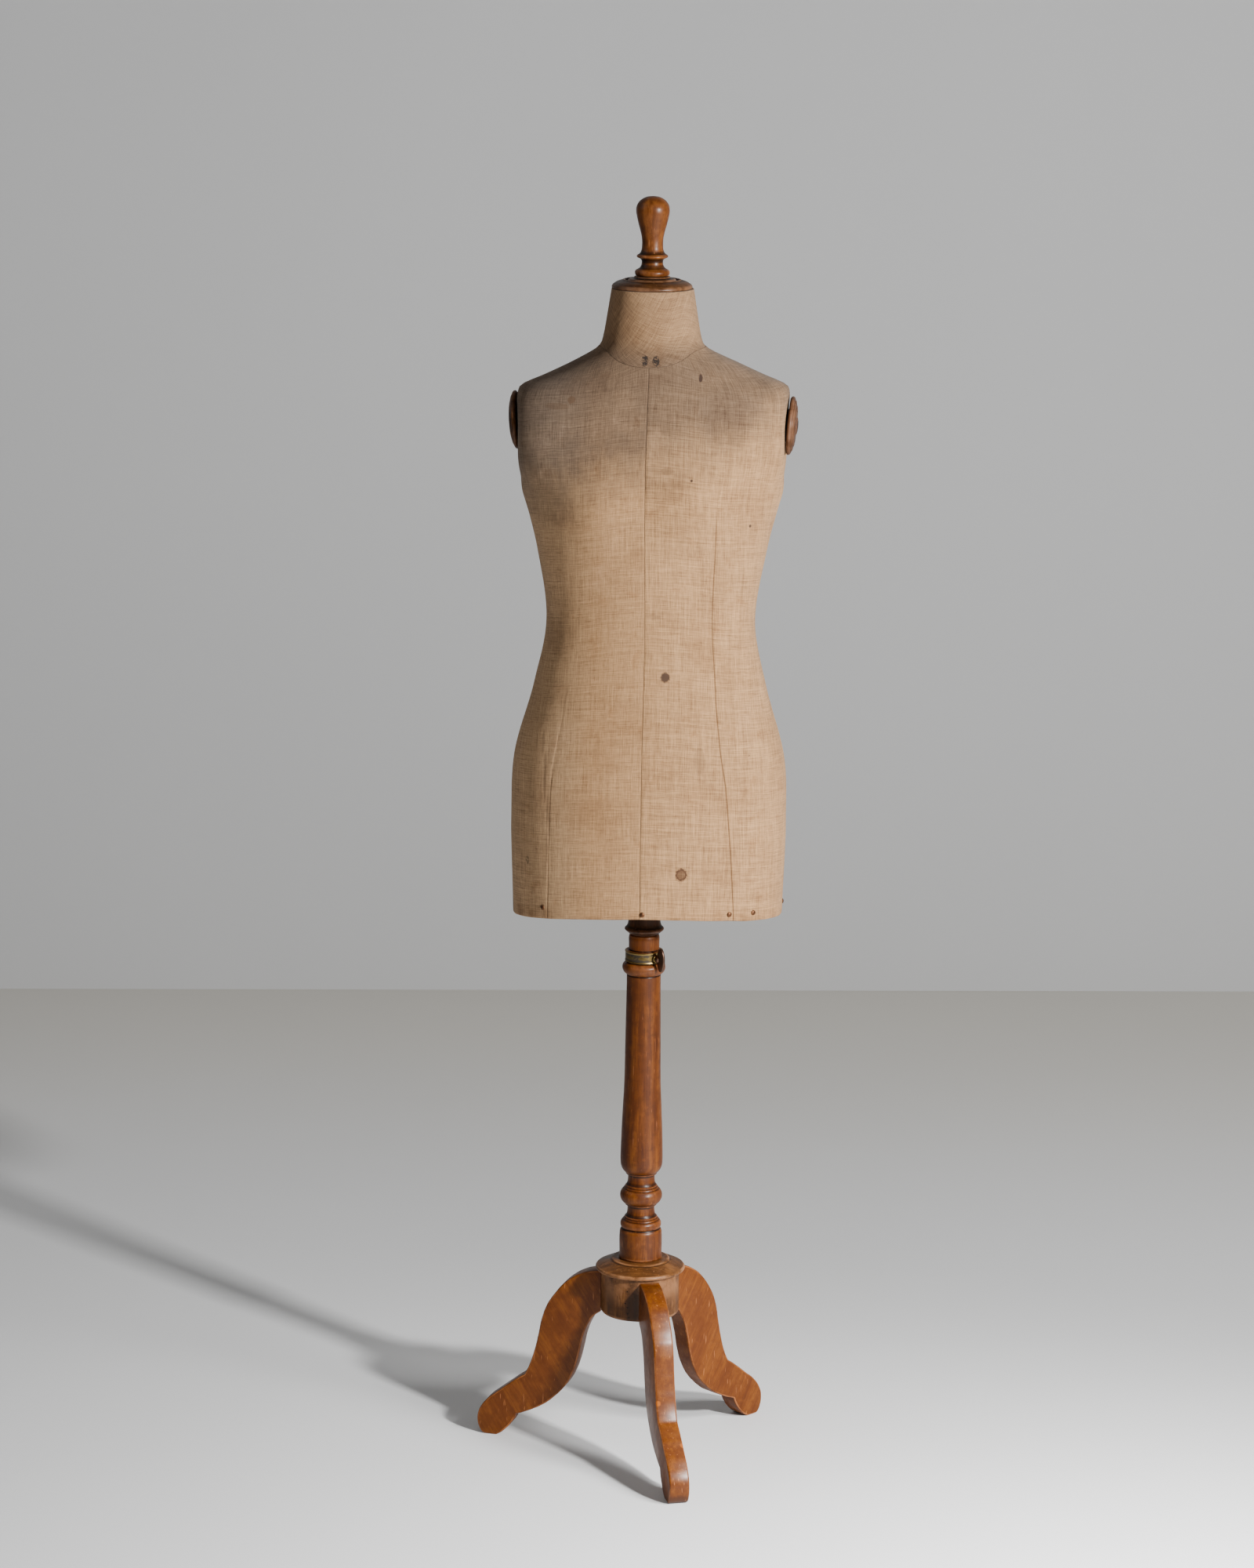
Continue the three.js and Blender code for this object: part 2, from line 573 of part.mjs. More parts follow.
// ---- neck cap and finial ----
const CAP_TOP_Z = 1503;
const FINIAL_BOTTOM_Z = CAP_TOP_Z + GAP;
add('neck_cap', turnedRing(STUD_R + GAP, [
  [48.2, TORSO_TOP_Z + GAP], [49.2, 1489.8], [46.5, 1494], [38, 1498], [34, 1499], [31, 1499],
  [23.4, 1500.6], [21, CAP_TOP_Z],
]), MATERIALS.finial);
add('finial', turned([
  [0, STUD_TOP_Z], [STUD_R + GAP, STUD_TOP_Z], [STUD_R + GAP, FINIAL_BOTTOM_Z], [17.4, FINIAL_BOTTOM_Z],
  [21.4, 1506.9], [15.8, 1512.8], [13, 1519], [14.4, 1523.8], [19, 1527.4], [14.1, 1532.6], [12.9, 1541.5],
  [13.6, 1551], [17.2, 1565.6], [19.4, 1576], [20.6, 1582.8], [18.2, 1591], [11.6, 1597.4], [0, 1600],
]), MATERIALS.finial);
const stud = cylinderZ(STUD_R, STUD_BOTTOM_Z + GAP, STUD_TOP_Z - GAP, STUD_SIDES);
add('finial_stud', stud, MATERIALS.steel);

export default dressForm;
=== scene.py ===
"""The dress form's visual model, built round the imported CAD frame. Sizes are in millimetres, measured
from the column's axis, and become metres where a mesh is made."""

import math

import bpy
import numpy as np
from mathutils import Matrix, Vector, noise


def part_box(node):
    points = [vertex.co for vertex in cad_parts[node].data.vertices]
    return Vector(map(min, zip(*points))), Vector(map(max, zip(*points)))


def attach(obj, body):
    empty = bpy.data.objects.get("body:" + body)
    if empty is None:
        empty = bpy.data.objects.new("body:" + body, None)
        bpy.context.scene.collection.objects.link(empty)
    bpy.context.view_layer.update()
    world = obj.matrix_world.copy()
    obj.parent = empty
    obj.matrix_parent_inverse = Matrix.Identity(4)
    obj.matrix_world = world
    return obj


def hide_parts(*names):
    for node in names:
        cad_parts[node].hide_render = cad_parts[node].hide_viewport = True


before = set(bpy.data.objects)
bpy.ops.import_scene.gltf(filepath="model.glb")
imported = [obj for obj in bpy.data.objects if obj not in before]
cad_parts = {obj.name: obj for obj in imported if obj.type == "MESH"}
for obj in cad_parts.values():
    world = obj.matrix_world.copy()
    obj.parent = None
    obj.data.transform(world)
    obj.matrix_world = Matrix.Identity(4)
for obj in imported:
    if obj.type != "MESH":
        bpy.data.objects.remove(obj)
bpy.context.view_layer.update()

MM = 0.001
GAP = 0.3
pole_low, pole_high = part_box("inner_pole")
AXIS = Matrix.Translation(Vector(((pole_low.x + pole_high.x) / 2, (pole_low.y + pole_high.y) / 2, 0)))
UPRIGHT = Matrix.Identity(4)


# ---- node trees ----
class Finish:
    """A material, with short calls for the nodes that make it."""

    def __init__(self, name):
        self.material = bpy.data.materials.new(name)
        self.material.use_nodes = True
        self.tree = self.material.node_tree
        self.shader = self.tree.nodes["Principled BSDF"]

    def node(self, kind, links=(), **settings):
        made = self.tree.nodes.new("ShaderNode" + kind)
        for key, value in settings.items():
            setattr(made, key, value)
        for socket, value in dict(links).items():
            self.feed(made.inputs[socket], value)
        return made

    def feed(self, socket, value):
        if isinstance(value, bpy.types.NodeSocket):
            self.tree.links.new(value, socket)
        else:
            socket.default_value = value

    def plain(self, **values):
        """Values that are the same all over, set on the shader's own sockets."""
        for key, value in values.items():
            self.shader.inputs[key.replace("_", " ")].default_value = value

    def place(self, scale=(1, 1, 1), shift=(0, 0, 0), turn=(0, 0, 0), source="Object"):
        if source == "Cloth":
            start = self.node("UVMap", uv_map="cloth").outputs[0]
        else:
            start = self.node("TexCoord").outputs[source]
        links = {"Vector": start, "Scale": scale, "Location": shift, "Rotation": turn}
        return self.node("Mapping", links).outputs[0]

    def noise(self, place, scale=1.0, detail=2.0, roughness=0.5, distortion=0.0):
        links = {"Vector": place, "Scale": scale, "Detail": detail, "Roughness": roughness,
                 "Distortion": distortion}
        return self.node("TexNoise", links).outputs["Fac"]

    def attribute(self, name):
        return self.node("Attribute", attribute_name=name).outputs["Fac"]

    def math(self, operation, first, second=0.0, third=0.0):
        return self.node("Math", {0: first, 1: second, 2: third}, operation=operation).outputs[0]

    def span(self, value, low, high, to_low=0.0, to_high=1.0, smooth=True):
        """The value's range from low to high becomes to_low to to_high, held at both ends."""
        kind = "SMOOTHSTEP" if smooth else "LINEAR"
        links = {0: value, 1: low, 2: high, 3: to_low, 4: to_high}
        return self.node("MapRange", links, interpolation_type=kind).outputs[0]

    def mix(self, share, first, second, blend="MIX"):
        made = self.node("Mix", data_type="RGBA", blend_type=blend)
        self.feed(made.inputs[0], share)
        self.feed(made.inputs[6], first if isinstance(first, bpy.types.NodeSocket) else (*first, 1))
        self.feed(made.inputs[7], second if isinstance(second, bpy.types.NodeSocket) else (*second, 1))
        return made.outputs[2]

    def ramp(self, value, *stops):
        made = self.node("ValToRGB", {0: value})
        elements = made.color_ramp.elements
        while len(elements) < len(stops):
            elements.new(0.5)
        for element, (position, colour) in zip(elements, stops):
            element.position = position
            element.color = (*colour, 1)
        return made.outputs[0]

    def bump(self, height, distance, strength=1.0, under=None):
        made = self.node("Bump", {"Height": height, "Distance": distance, "Strength": strength})
        if under is not None:
            self.feed(made.inputs["Normal"], under)
        return made.outputs[0]

    def finish(self, colour, roughness, normal=None):
        self.feed(self.shader.inputs["Base Color"], colour)
        self.feed(self.shader.inputs["Roughness"], roughness)
        if normal is not None:
            self.feed(self.shader.inputs["Normal"], normal)
        return self.material


def near(finish, place, centre, half_sizes, edge=0.4, ragged=0.0, scale=400.0):
    """1 inside an oval mark round a centre, 0 outside it, with a soft or ragged edge."""
    stretch = finish.node("Mapping", {
        "Vector": place,
        "Location": [-c / h for c, h in zip(centre, half_sizes)],
        "Scale": [1 / h for h in half_sizes],
    }).outputs[0]
    away = finish.node("VectorMath", {0: stretch}, operation="LENGTH").outputs["Value"]
    if ragged:
        rough = finish.noise(place, scale, 3.0, 0.7)
        away = finish.math("MULTIPLY_ADD", finish.math("SUBTRACT", rough, 0.5), ragged, away)
    return finish.span(away, 1 - edge, 1 + edge, 1, 0)


# ---- wood ----
TURNED_TONES = ((0.038, 0.0082, 0.0008), (0.068, 0.0168, 0.0015), (0.112, 0.0322, 0.0034))
BOARD_TONES = ((0.070, 0.0158, 0.0010), (0.100, 0.0258, 0.0016), (0.134, 0.0385, 0.0030))
OLIVE_TONES = ((0.026, 0.0090, 0.0026), (0.050, 0.0186, 0.0054), (0.088, 0.036, 0.0115))
ARM_TONES = ((0.018, 0.0054, 0.0012), (0.036, 0.0118, 0.0026), (0.064, 0.0230, 0.0056))
DRUM_TONES = ((0.036, 0.0130, 0.0034), (0.070, 0.0250, 0.0058), (0.118, 0.046, 0.0120))
FINIAL_TONES = ((0.050, 0.0135, 0.0024), (0.088, 0.0260, 0.0052), (0.138, 0.046, 0.0100))
DARK_TONES = ((0.010, 0.0042, 0.0018), (0.028, 0.0105, 0.0040), (0.062, 0.023, 0.0085))
PLAIN_TONES = ((0.22, 0.12, 0.055), (0.34, 0.20, 0.10), (0.46, 0.30, 0.16))


def wood(name, tones, grain="Z", seed=0.0, varnish=0.12, worn=0.5, tilt=0.0, marks=()):
    """Old varnished wood. The grain runs along one of the piece's own axes, tilted about Y for a board
    cut across it; hollows hold dark polish and ridges are rubbed lighter."""
    f = Finish(name)
    along = {"X": (0, 1, 1), "Y": (1, 0, 1), "Z": (1, 1, 0)}[grain]
    turn = (0, tilt, 0)
    shift = (seed, seed * 1.7, seed * 0.6)

    def stretched(across, length):
        scale = [across if a else length for a in along]
        tilted = f.place(turn=turn)
        return f.node("Mapping", {"Vector": tilted, "Scale": scale, "Location": shift}).outputs[0]

    streaks = f.noise(stretched(170, 8), 1, 5, 0.66, 0.4)
    figure = f.noise(stretched(46, 6), 1, 4, 0.6, 1.4)
    flecks = f.noise(stretched(900, 55), 1, 2, 0.5)
    patches = f.noise(f.place(shift=shift), 26, 5, 0.66)
    tone = f.math("MULTIPLY_ADD", figure, 0.55, f.math("MULTIPLY", streaks, 0.55))
    colour = f.ramp(tone, (0.41, tones[0]), (0.545, tones[1]), (0.67, tones[2]))
    dark = [c * 0.45 for c in tones[0]]
    light = [min(1, c * 1.8 + 0.025) for c in tones[2]]
    colour = f.mix(f.span(flecks, 0.56, 0.70, 0, 0.40), colour, dark)
    clouds = f.noise(f.place(shift=shift), 90, 4, 0.62)
    colour = f.mix(f.span(clouds, 0.50, 0.70, 0, 0.55), colour, tones[0])
    colour = f.mix(f.span(clouds, 0.46, 0.32, 0, 0.45), colour, tones[2])
    colour = f.mix(f.span(patches, 0.48, 0.66, 0, 0.55), colour, tones[0])
    relief = f.attribute("relief")
    rubbed = f.math("MULTIPLY", f.span(relief, -0.15, -0.8), f.span(patches, 0.38, 0.62))
    colour = f.mix(f.math("MULTIPLY", rubbed, worn), colour, light)
    polish = f.span(f.math("MULTIPLY_ADD", patches, 0.3, relief), 0.28, 0.75, 0, 0.88)
    colour = f.mix(polish, colour, [c * 0.16 for c in tones[0]])
    place = f.place()
    for centre, half_sizes, strength, shade in marks:
        colour = f.mix(f.math("MULTIPLY", near(f, place, centre, half_sizes, 0.35, 1.0), strength),
                       colour, [c * shade for c in tones[1]])
    scratches = f.noise(f.place(scale=(420, 420, 46), turn=(0.12, 0.2, 0.2), shift=shift), 1, 2, 0.4)
    colour = f.mix(f.span(scratches, 0.68, 0.74, 0, 0.8 * worn), colour, light)
    roughness = f.span(f.math("MULTIPLY_ADD", clouds, 0.4, patches), 0.4, 1.0, 0.34, 0.60)
    normal = f.bump(streaks, 0.00035, 0.5)
    normal = f.bump(flecks, 0.00012, 0.5, normal)
    normal = f.bump(f.noise(f.place(shift=shift), 130, 2, 0.5), 0.0006, 0.35, normal)
    f.plain(Coat_Weight=varnish, Coat_Roughness=0.3, Specular_IOR_Level=0.10)
    return f.finish(colour, roughness, normal)


# ---- metal ----
def metal(name, tones, tarnish, roughness=(0.28, 0.5), scale=90.0, cover=(0.45, 0.62)):
    """Metal with a tarnish that gathers in patches and in the hollows."""
    f = Finish(name)
    patches = f.noise(f.place(), scale, 5, 0.65, 0.6)
    fine = f.noise(f.place(scale=(1, 1, 6)), scale * 7, 3, 0.6)
    colour = f.ramp(f.math("MULTIPLY_ADD", fine, 0.4, f.math("MULTIPLY", patches, 0.6)),
                    (0.30, tones[0]), (0.60, tones[1]))
    relief = f.attribute("relief")
    covered = f.span(f.math("MULTIPLY_ADD", relief, 0.35, patches), cover[0], cover[1])
    colour = f.mix(covered, colour, tarnish)
    rubbed = f.span(relief, -0.2, -0.8, 0, 0.6)
    colour = f.mix(rubbed, colour, [min(1, c * 1.35) for c in tones[1]])
    bare = f.math("SUBTRACT", 1.0, f.math("MULTIPLY", covered, 0.55))
    f.feed(f.shader.inputs["Metallic"], bare)
    normal = f.bump(fine, 0.0001, 0.6, f.bump(patches, 0.0004, 0.4))
    return f.finish(colour, f.span(covered, 0, 1, *roughness), normal)


def papier_mache():
    """Layers of torn paper under brown size."""
    f = Finish("papier_mache")
    layers = f.node("TexVoronoi", {"Vector": f.place(scale=(1, 1, 0.6)), "Scale": 26.0},
                    feature="DISTANCE_TO_EDGE").outputs["Distance"]
    fibres = f.noise(f.place(scale=(1, 1, 3)), 420, 4, 0.7)
    blotches = f.noise(f.place(), 14, 4, 0.6)
    colour = f.ramp(f.math("MULTIPLY_ADD", fibres, 0.4, f.math("MULTIPLY", blotches, 0.6)),
                    (0.35, (0.16, 0.115, 0.075)), (0.7, (0.34, 0.27, 0.19)))
    colour = f.mix(f.span(layers, 0.0, 0.05, 0.5, 0), colour, (0.11, 0.08, 0.05))
    normal = f.bump(fibres, 0.0003, 0.5, f.bump(f.span(layers, 0, 0.06), 0.0005, 0.6))
    return f.finish(colour, 0.85, normal)


# ---- meshes ----
def smooth_run(points, step=0.7):
    """A curve through every point of one run, with a new point about every step."""
    points = np.array(points, float)
    if len(points) == 2:
        return points
    length = np.concatenate([[0], np.cumsum(np.linalg.norm(np.diff(points, axis=0), axis=1))])
    slope = np.diff(points, axis=0) / np.diff(length)[:, None]
    weight = np.diff(length)
    before, after = weight[:-1, None], weight[1:, None]
    middle = (slope[:-1] * after + slope[1:] * before) / (before + after)
    ends = [1.5 * slope[0] - 0.5 * middle[0], 1.5 * slope[-1] - 0.5 * middle[-1]]
    tangent = np.concatenate([ends[:1], middle, ends[1:]])
    at = np.linspace(0, length[-1], max(3, round(length[-1] / step) + 1))
    i = np.clip(np.searchsorted(length, at, side="right") - 1, 0, len(points) - 2)
    h = weight[i][:, None]
    t = ((at - length[i]) / weight[i])[:, None]
    return ((1 + 2 * t) * (1 - t) ** 2 * points[i] + t * (1 - t) ** 2 * h * tangent[i]
            + t * t * (3 - 2 * t) * points[i + 1] + t * t * (t - 1) * h * tangent[i + 1])


def outline(points, step=0.7):
    """A smooth line through the points; a point written as a tuple is a sharp corner."""
    parts, run = [], points[:1]
    for number, point in enumerate(points[1:], 2):
        run.append(point)
        if isinstance(point, tuple) or number == len(points):
            part = smooth_run(run, step)
            parts.append(part[1:] if parts else part)
            run = [point]
    return np.concatenate(parts)


def relief_along(points, reach=2.2):
    """How hollow (up to 1) or how proud (down to -1) each point of an outline is."""
    length = np.concatenate([[0], np.cumsum(np.linalg.norm(np.diff(points, axis=0), axis=1))])

    def at(where):
        where = np.clip(where, 0, length[-1])
        return np.stack([np.interp(where, length, points[:, k]) for k in range(2)], axis=1)

    back, ahead = at(length - reach), at(length + reach)
    chord = ahead - back
    outward = np.stack([chord[:, 1], -chord[:, 0]], axis=1)
    outward /= np.maximum(np.linalg.norm(outward, axis=1), 1e-9)[:, None]
    sag = (((back + ahead) / 2 - points) * outward).sum(axis=1)
    return np.clip(sag / (0.28 * reach), -1, 1)


def lathe(points, sides=96):
    """Revolves [radius, height] points, listed upwards along the outside, about Z."""
    relief = relief_along(points)
    angles = np.arange(sides) * 2 * math.pi / sides
    vertices, faces, values, rings = [], [], [], []
    for (r, z), value in zip(points, relief):
        start = len(vertices)
        if r < 1e-6:
            vertices.append((0, 0, z))
            values.append(value)
            rings.append([start] * sides)
            continue
        vertices += [(r * math.cos(a), r * math.sin(a), z) for a in angles]
        values += [value] * sides
        rings.append(list(range(start, start + sides)))
    for low, high in zip(rings, rings[1:]):
        for i in range(sides):
            j = (i + 1) % sides
            corners = dict.fromkeys([low[i], low[j], high[j], high[i]])
            if len(corners) > 2:
                faces.append(list(corners))
    return np.array(vertices), faces, np.array(values)


def ring_lathe(bore, points, sides=96):
    """The same with a straight hole right through, so that the outline closes on itself."""
    bottom, top = points[0][1], points[-1][1]
    closed = np.concatenate([[[bore, bottom]], points, [[bore, top]]])
    vertices, faces, values = lathe(closed, sides)
    last = (len(closed) - 1) * sides
    faces += [[last + i, last + (i + 1) % sides, (i + 1) % sides, i] for i in range(sides)]
    return vertices, faces, values


def board(shape, thickness, ease, steps=4):
    """A flat board: its outline in XZ, its thickness along Y, and its edges rounded over."""
    ahead = np.roll(shape, -1, axis=0) - shape
    ahead /= np.linalg.norm(ahead, axis=1)[:, None]
    direction = ahead + np.roll(ahead, 1, axis=0)
    direction /= np.linalg.norm(direction, axis=1)[:, None]
    area = (shape[:, 0] * np.roll(shape[:, 1], -1) - np.roll(shape[:, 0], -1) * shape[:, 1]).sum()
    inward = np.sign(area) * np.stack([-direction[:, 1], direction[:, 0]], axis=1)
    turns = [math.radians(90 * k / steps) for k in range(steps + 1)]
    near_side = [(-thickness / 2 + ease * (1 - math.cos(a)), ease * (1 - math.sin(a))) for a in turns]
    sections = near_side + [(-y, inset) for y, inset in reversed(near_side)]
    count = len(shape)
    vertices, values = [], []
    for y, inset in sections:
        loop = shape + inward * inset
        vertices += [(x, y, z) for x, z in loop]
        values += [-0.9 * math.sin(math.pi * inset / ease) if ease else 0.0] * count
    faces = []
    for k in range(len(sections) - 1):
        for i in range(count):
            j = (i + 1) % count
            faces.append([k * count + i, k * count + j, (k + 1) * count + j, (k + 1) * count + i])
    first = list(range(count))
    last = list(range((len(sections) - 1) * count, len(sections) * count))
    faces += [first[::-1], last]
    if area > 0:
        faces = [face[::-1] for face in faces]
    return np.array(vertices), faces, np.array(values)


def box_mesh(low, high):
    vertices = [(x, y, z) for x in (low[0], high[0]) for y in (low[1], high[1]) for z in (low[2], high[2])]
    faces = [[0, 1, 3, 2], [4, 6, 7, 5], [0, 4, 5, 1], [2, 3, 7, 6], [0, 2, 6, 4], [1, 5, 7, 3]]
    return np.array(vertices), faces, np.zeros(8)


def mesh_of(name, shape):
    """A Blender mesh from millimetre points, its faces, and its relief values."""
    vertices, faces, values = shape
    mesh = bpy.data.meshes.new(name)
    mesh.from_pydata((vertices * MM).tolist(), [], faces)
    mesh.attributes.new("relief", "FLOAT", "POINT").data.foreach_set("value", values.astype(np.float32))
    mesh.update()
    return mesh


def object_of(name, mesh, place=UPRIGHT):
    made = bpy.data.objects.new(name, mesh)
    bpy.context.scene.collection.objects.link(made)
    made.matrix_world = AXIS @ place
    return made


def turned(node, shape, body, material, slot, place=UPRIGHT):
    """A lathe-turned piece that stands for one CAD node."""
    piece = object_of(node + "_turned", mesh_of(node, shape), place)
    return put(piece, body, [node], material)


def combine(target, shape, operation, place=None):
    """Cuts another shape out of the target's mesh, or joins it on."""
    tool = object_of("tool", mesh_of("tool", shape))
    tool.matrix_world = target.matrix_world if place is None else AXIS @ place
    modifier = target.modifiers.new("combine", "BOOLEAN")
    modifier.object = tool
    modifier.operation = operation
    modifier.solver = "EXACT"
    bpy.context.view_layer.update()
    evaluated = target.evaluated_get(bpy.context.evaluated_depsgraph_get())
    result = bpy.data.meshes.new_from_object(evaluated)
    target.modifiers.clear()
    target.data = result
    bpy.data.objects.remove(tool)
    return target


def put(piece, body, stands_for, material, sharp=34):
    """Gives a piece its shading, material and body, and hides the CAD nodes that it stands for."""
    piece.data.shade_smooth()
    piece.data.set_sharp_from_angle(angle=math.radians(sharp))
    piece.data.materials.clear()
    piece.data.materials.append(material)
    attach(piece, body)
    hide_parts(*stands_for)
    return piece


# ---- the stand ----
LEGS = {"leg_front": 19, "leg_left": -101, "leg_right": 139}  # degrees from -Y towards +X
LEG_THICKNESS = 26
LEG_EASE = 2.4
GRAIN_TILT = math.radians(58)                               # the grain runs down the leg's slope
LEG_VARNISH = {"leg_front": 0.32, "leg_left": 0.16, "leg_right": 0.16}
DRUM_R = 49.6
TENON = ((30, -6, 184), (DRUM_R + 1.2, 6, 231))             # two corners of a leg's tenon
COLUMN_TENON_R = 18
COLUMN_BORE_R = 12.8
POLE_R = 12.5
SCREW_R = 3
PAD_R = 5
BAND_SEAT_R = 21.4


def turn_z(degrees):
    """Turns a piece whose length lies along +X to a direction measured from -Y towards +X."""
    return Matrix.Rotation(math.radians(degrees - 90), 4, "Z")


def leg_outline():
    return outline([
        [44, 235.6], [60, 234.2], [77, 228.4], [94, 217.4], [110, 199.4], [121.5, 180.6], [127.6, 162.4],
        [131.6, 142], [137, 119], [142.5, 101.5], (149.5, 86.5), [166, 75], [183, 61.5], [199, 48.5],
        [208.6, 37], [213.2, 24], [211.8, 11], [206.5, 1.5], (203.5, 0), (187.5, 0), [184, 1.6],
        [176.5, 7.8], [168, 17.4], [163.4, 25], (161.5, 30.4), [143.5, 37.4], [124, 48], [107, 62.4],
        [93.3, 78.5], [84, 96.5], [78, 117], [73, 140], [66, 160.5], [57.5, 174.2], [44, 183.5],
    ], step=3.0)


def hand_worked(shape, seed, amount=0.35):
    """Moves an outline's points a little, as spokeshave and rasp leave them; the sole stays flat."""
    moved = shape.copy()
    for i, (x, z) in enumerate(shape):
        if z > 0.5 and x > DRUM_R + 5.4:
            across = noise.noise((x / 9, z / 9, seed))
            up = noise.noise((z / 9, seed, x / 9))
            moved[i] += [amount * across, amount * up]
    return moved


def make_leg(name, azimuth, seed):
    shape = hand_worked(leg_outline(), seed)
    vertices, faces, values = board(shape, LEG_THICKNESS, LEG_EASE)
    seat = np.sqrt((DRUM_R + GAP) ** 2 - vertices[:, 1] ** 2)
    vertices[:, 0] = np.maximum(vertices[:, 0], seat)
    leg = object_of(name + "_board", mesh_of(name, (vertices, faces, values)), turn_z(azimuth))
    combine(leg, box_mesh(*TENON), "UNION")
    varnish = LEG_VARNISH[name]
    material = wood(name + "_wood", BOARD_TONES, "X", seed, varnish, 0.9, GRAIN_TILT, LEG_MARKS[name])
    return put(leg, "stand", [name], material)


# Bruises and rubbed spots: centre in metres in the leg's own frame, half sizes, strength, shade.
LEG_MARKS = {
    "leg_front": [
        ((0.062, 0, 0.222), (0.012, 0.02, 0.014), 0.6, 0.35),
        ((0.139, -0.011, 0.108), (0.004, 0.004, 0.003), 0.8, 2.6),
        ((0.178, 0.012, 0.064), (0.003, 0.003, 0.005), 0.8, 2.4),
        ((0.206, 0.002, 0.006), (0.012, 0.02, 0.007), 0.7, 0.45),
    ],
    "leg_left": [
        ((0.193, -0.013, 0.006), (0.016, 0.004, 0.008), 0.6, 1.7),
        ((0.187, -0.013, 0.031), (0.003, 0.003, 0.002), 0.9, 0.3),
        ((0.053, -0.013, 0.200), (0.003, 0.004, 0.014), 0.9, 0.15),
    ],
    "leg_right": [
        ((0.168, 0.013, 0.034), (0.008, 0.004, 0.004), 0.6, 2.0),
        ((0.122, 0.013, 0.176), (0.003, 0.004, 0.006), 0.5, 2.0),
    ],
}


# Screw holes in the drum: degrees from -Y towards +X, height, radius.
DRUM_HOLES = [(-14, 224, 1.1), (-17, 208, 0.9), (-13.5, 203, 1.0), (-13, 195, 1.2), (-11, 190, 1.0)]


def on_drum(degrees, height):
    """A place on the drum's side, in metres."""
    a = math.radians(degrees)
    return (DRUM_R * MM * math.sin(a), -DRUM_R * MM * math.cos(a), height * MM)


def make_hub():
    drum_shape = outline([[46, 184], [48.2, 184.8], [49.4, 187], (DRUM_R, 190), [DRUM_R, 240.3]])
    bore = COLUMN_TENON_R + GAP
    drum = object_of("hub_drum_turned", mesh_of("hub_drum", ring_lathe(bore, drum_shape, 144)))
    for azimuth in LEGS.values():
        slot = box_mesh((TENON[0][0] - GAP, -6 - GAP, 180), (DRUM_R + 4, 6 + GAP, 231 + GAP))
        combine(drum, slot, "DIFFERENCE", turn_z(azimuth))
    marks = [(on_drum(degrees, z), (size * MM,) * 3, 1.0, 0.06) for degrees, z, size in DRUM_HOLES]
    # painted shadow: a dark upright patch on the drum just left of the front leg, where the leg's shadow
    # falls
    marks.append((on_drum(-6, 208), (0.009, 0.009, 0.028), 0.55, 0.3))
    material = wood("drum_wood", DRUM_TONES, "Z", 3.1, 0.10, 0.6, marks=marks)
    put(drum, "stand", ["hub_drum"], material)
    flange_shape = outline([
        [53.8, 240.6], [55.8, 241.2], [56.7, 242.5], [56.6, 244.3], (55.4, 245.7), [50.6, 247.9],
        [45.5, 250.1], [40.8, 252.1], (38.4, 253.2), (37.6, 253.6), [36.6, 254.7], [34.6, 255.3],
        [31, 255.5], [27.4, 255.5],
    ])
    material = wood("flange_wood", DRUM_TONES, "X", 5.7, 0.12, 0.8)
    turned("hub_flange", ring_lathe(bore, flange_shape, 144), "stand", material, "stand_wood")


CLAMP_AZIMUTH = 41.5
CLAMP_Z = 651.6


def along_clamp():
    """Puts a piece that was turned about Z along the clamp screw, pointing outwards from the axis."""
    turn = Matrix.Rotation(math.radians(90), 4, "Y")
    return Matrix.Translation((0, 0, CLAMP_Z * MM)) @ turn_z(CLAMP_AZIMUTH) @ turn


def column_outline():
    return outline([
        [0, 200], (17.4, 200), (COLUMN_TENON_R, 200.8), (COLUMN_TENON_R, 255.8), (26.3, 255.8),
        [26.8, 256.4], [26.8, 262],
        [26.8, 288], [26.5, 291.4], [25.4, 294], (24.3, 295.4), (24.2, 296), [25.3, 297.4], [25.9, 300.4],
        [25.3, 303.6], (23.6, 306), (22.8, 306.3), [22.4, 307.6], (20.9, 309), (20.6, 310.6), (19.6, 311),
        [18.2, 313.4], [17.4, 317], [17.1, 321], (17.3, 325.2), (19.9, 326), (20.3, 327.6), [22.6, 329.2],
        [25.2, 332.4], [26.6, 336.8], [26.4, 341], [24.9, 344.6], (23, 347), (22.3, 347.2), [21.9, 348.5],
        (20.3, 350), (20, 351.6), (19.2, 352), [17.8, 354.6], [17.1, 358.4], [16.9, 362.4], (17.2, 366.2),
        (19.8, 367), (20.2, 368.8), [22.4, 370.8], [24.8, 374.4], [26.2, 379], [26.7, 385], [26.6, 396],
        [26.3, 408], [24.8, 448], [23.2, 482], [22.4, 536], [21.9, 574], [21.5, 604], [21.4, 616],
        (21.5, 626.4), (21.1, 627.1), (21.8, 627.9), [23.6, 629.2], [26, 632.2], [27.1, 636],
        [26.8, 639.2], [25.2, 641.8], (23.2, 643.2), (21.4, 643.6), (21.4, 658.9), (19.2, 658.9),
        [19.2, 668], [19.2, 675.6], [18.6, 678], [17, 679.2], (15.4, 679.4), (13.2, 679.4),
        (COLUMN_BORE_R, 679), (COLUMN_BORE_R, 392), [0, 392],
    ], step=0.9)


def make_column():
    column = object_of("column_turned", mesh_of("column", lathe(column_outline(), 112)))
    pad_room, screw_room = PAD_R + GAP, SCREW_R + GAP
    pocket = outline([
        [0, 6], (pad_room, 6), (pad_room, 17), (screw_room, 17), (screw_room, 30), [0, 30],
    ])
    combine(column, lathe(pocket, 32), "DIFFERENCE", along_clamp())
    put(column, "stand", ["column"], wood("column_wood", TURNED_TONES, "Z", 0.0, 0.16, 0.55))


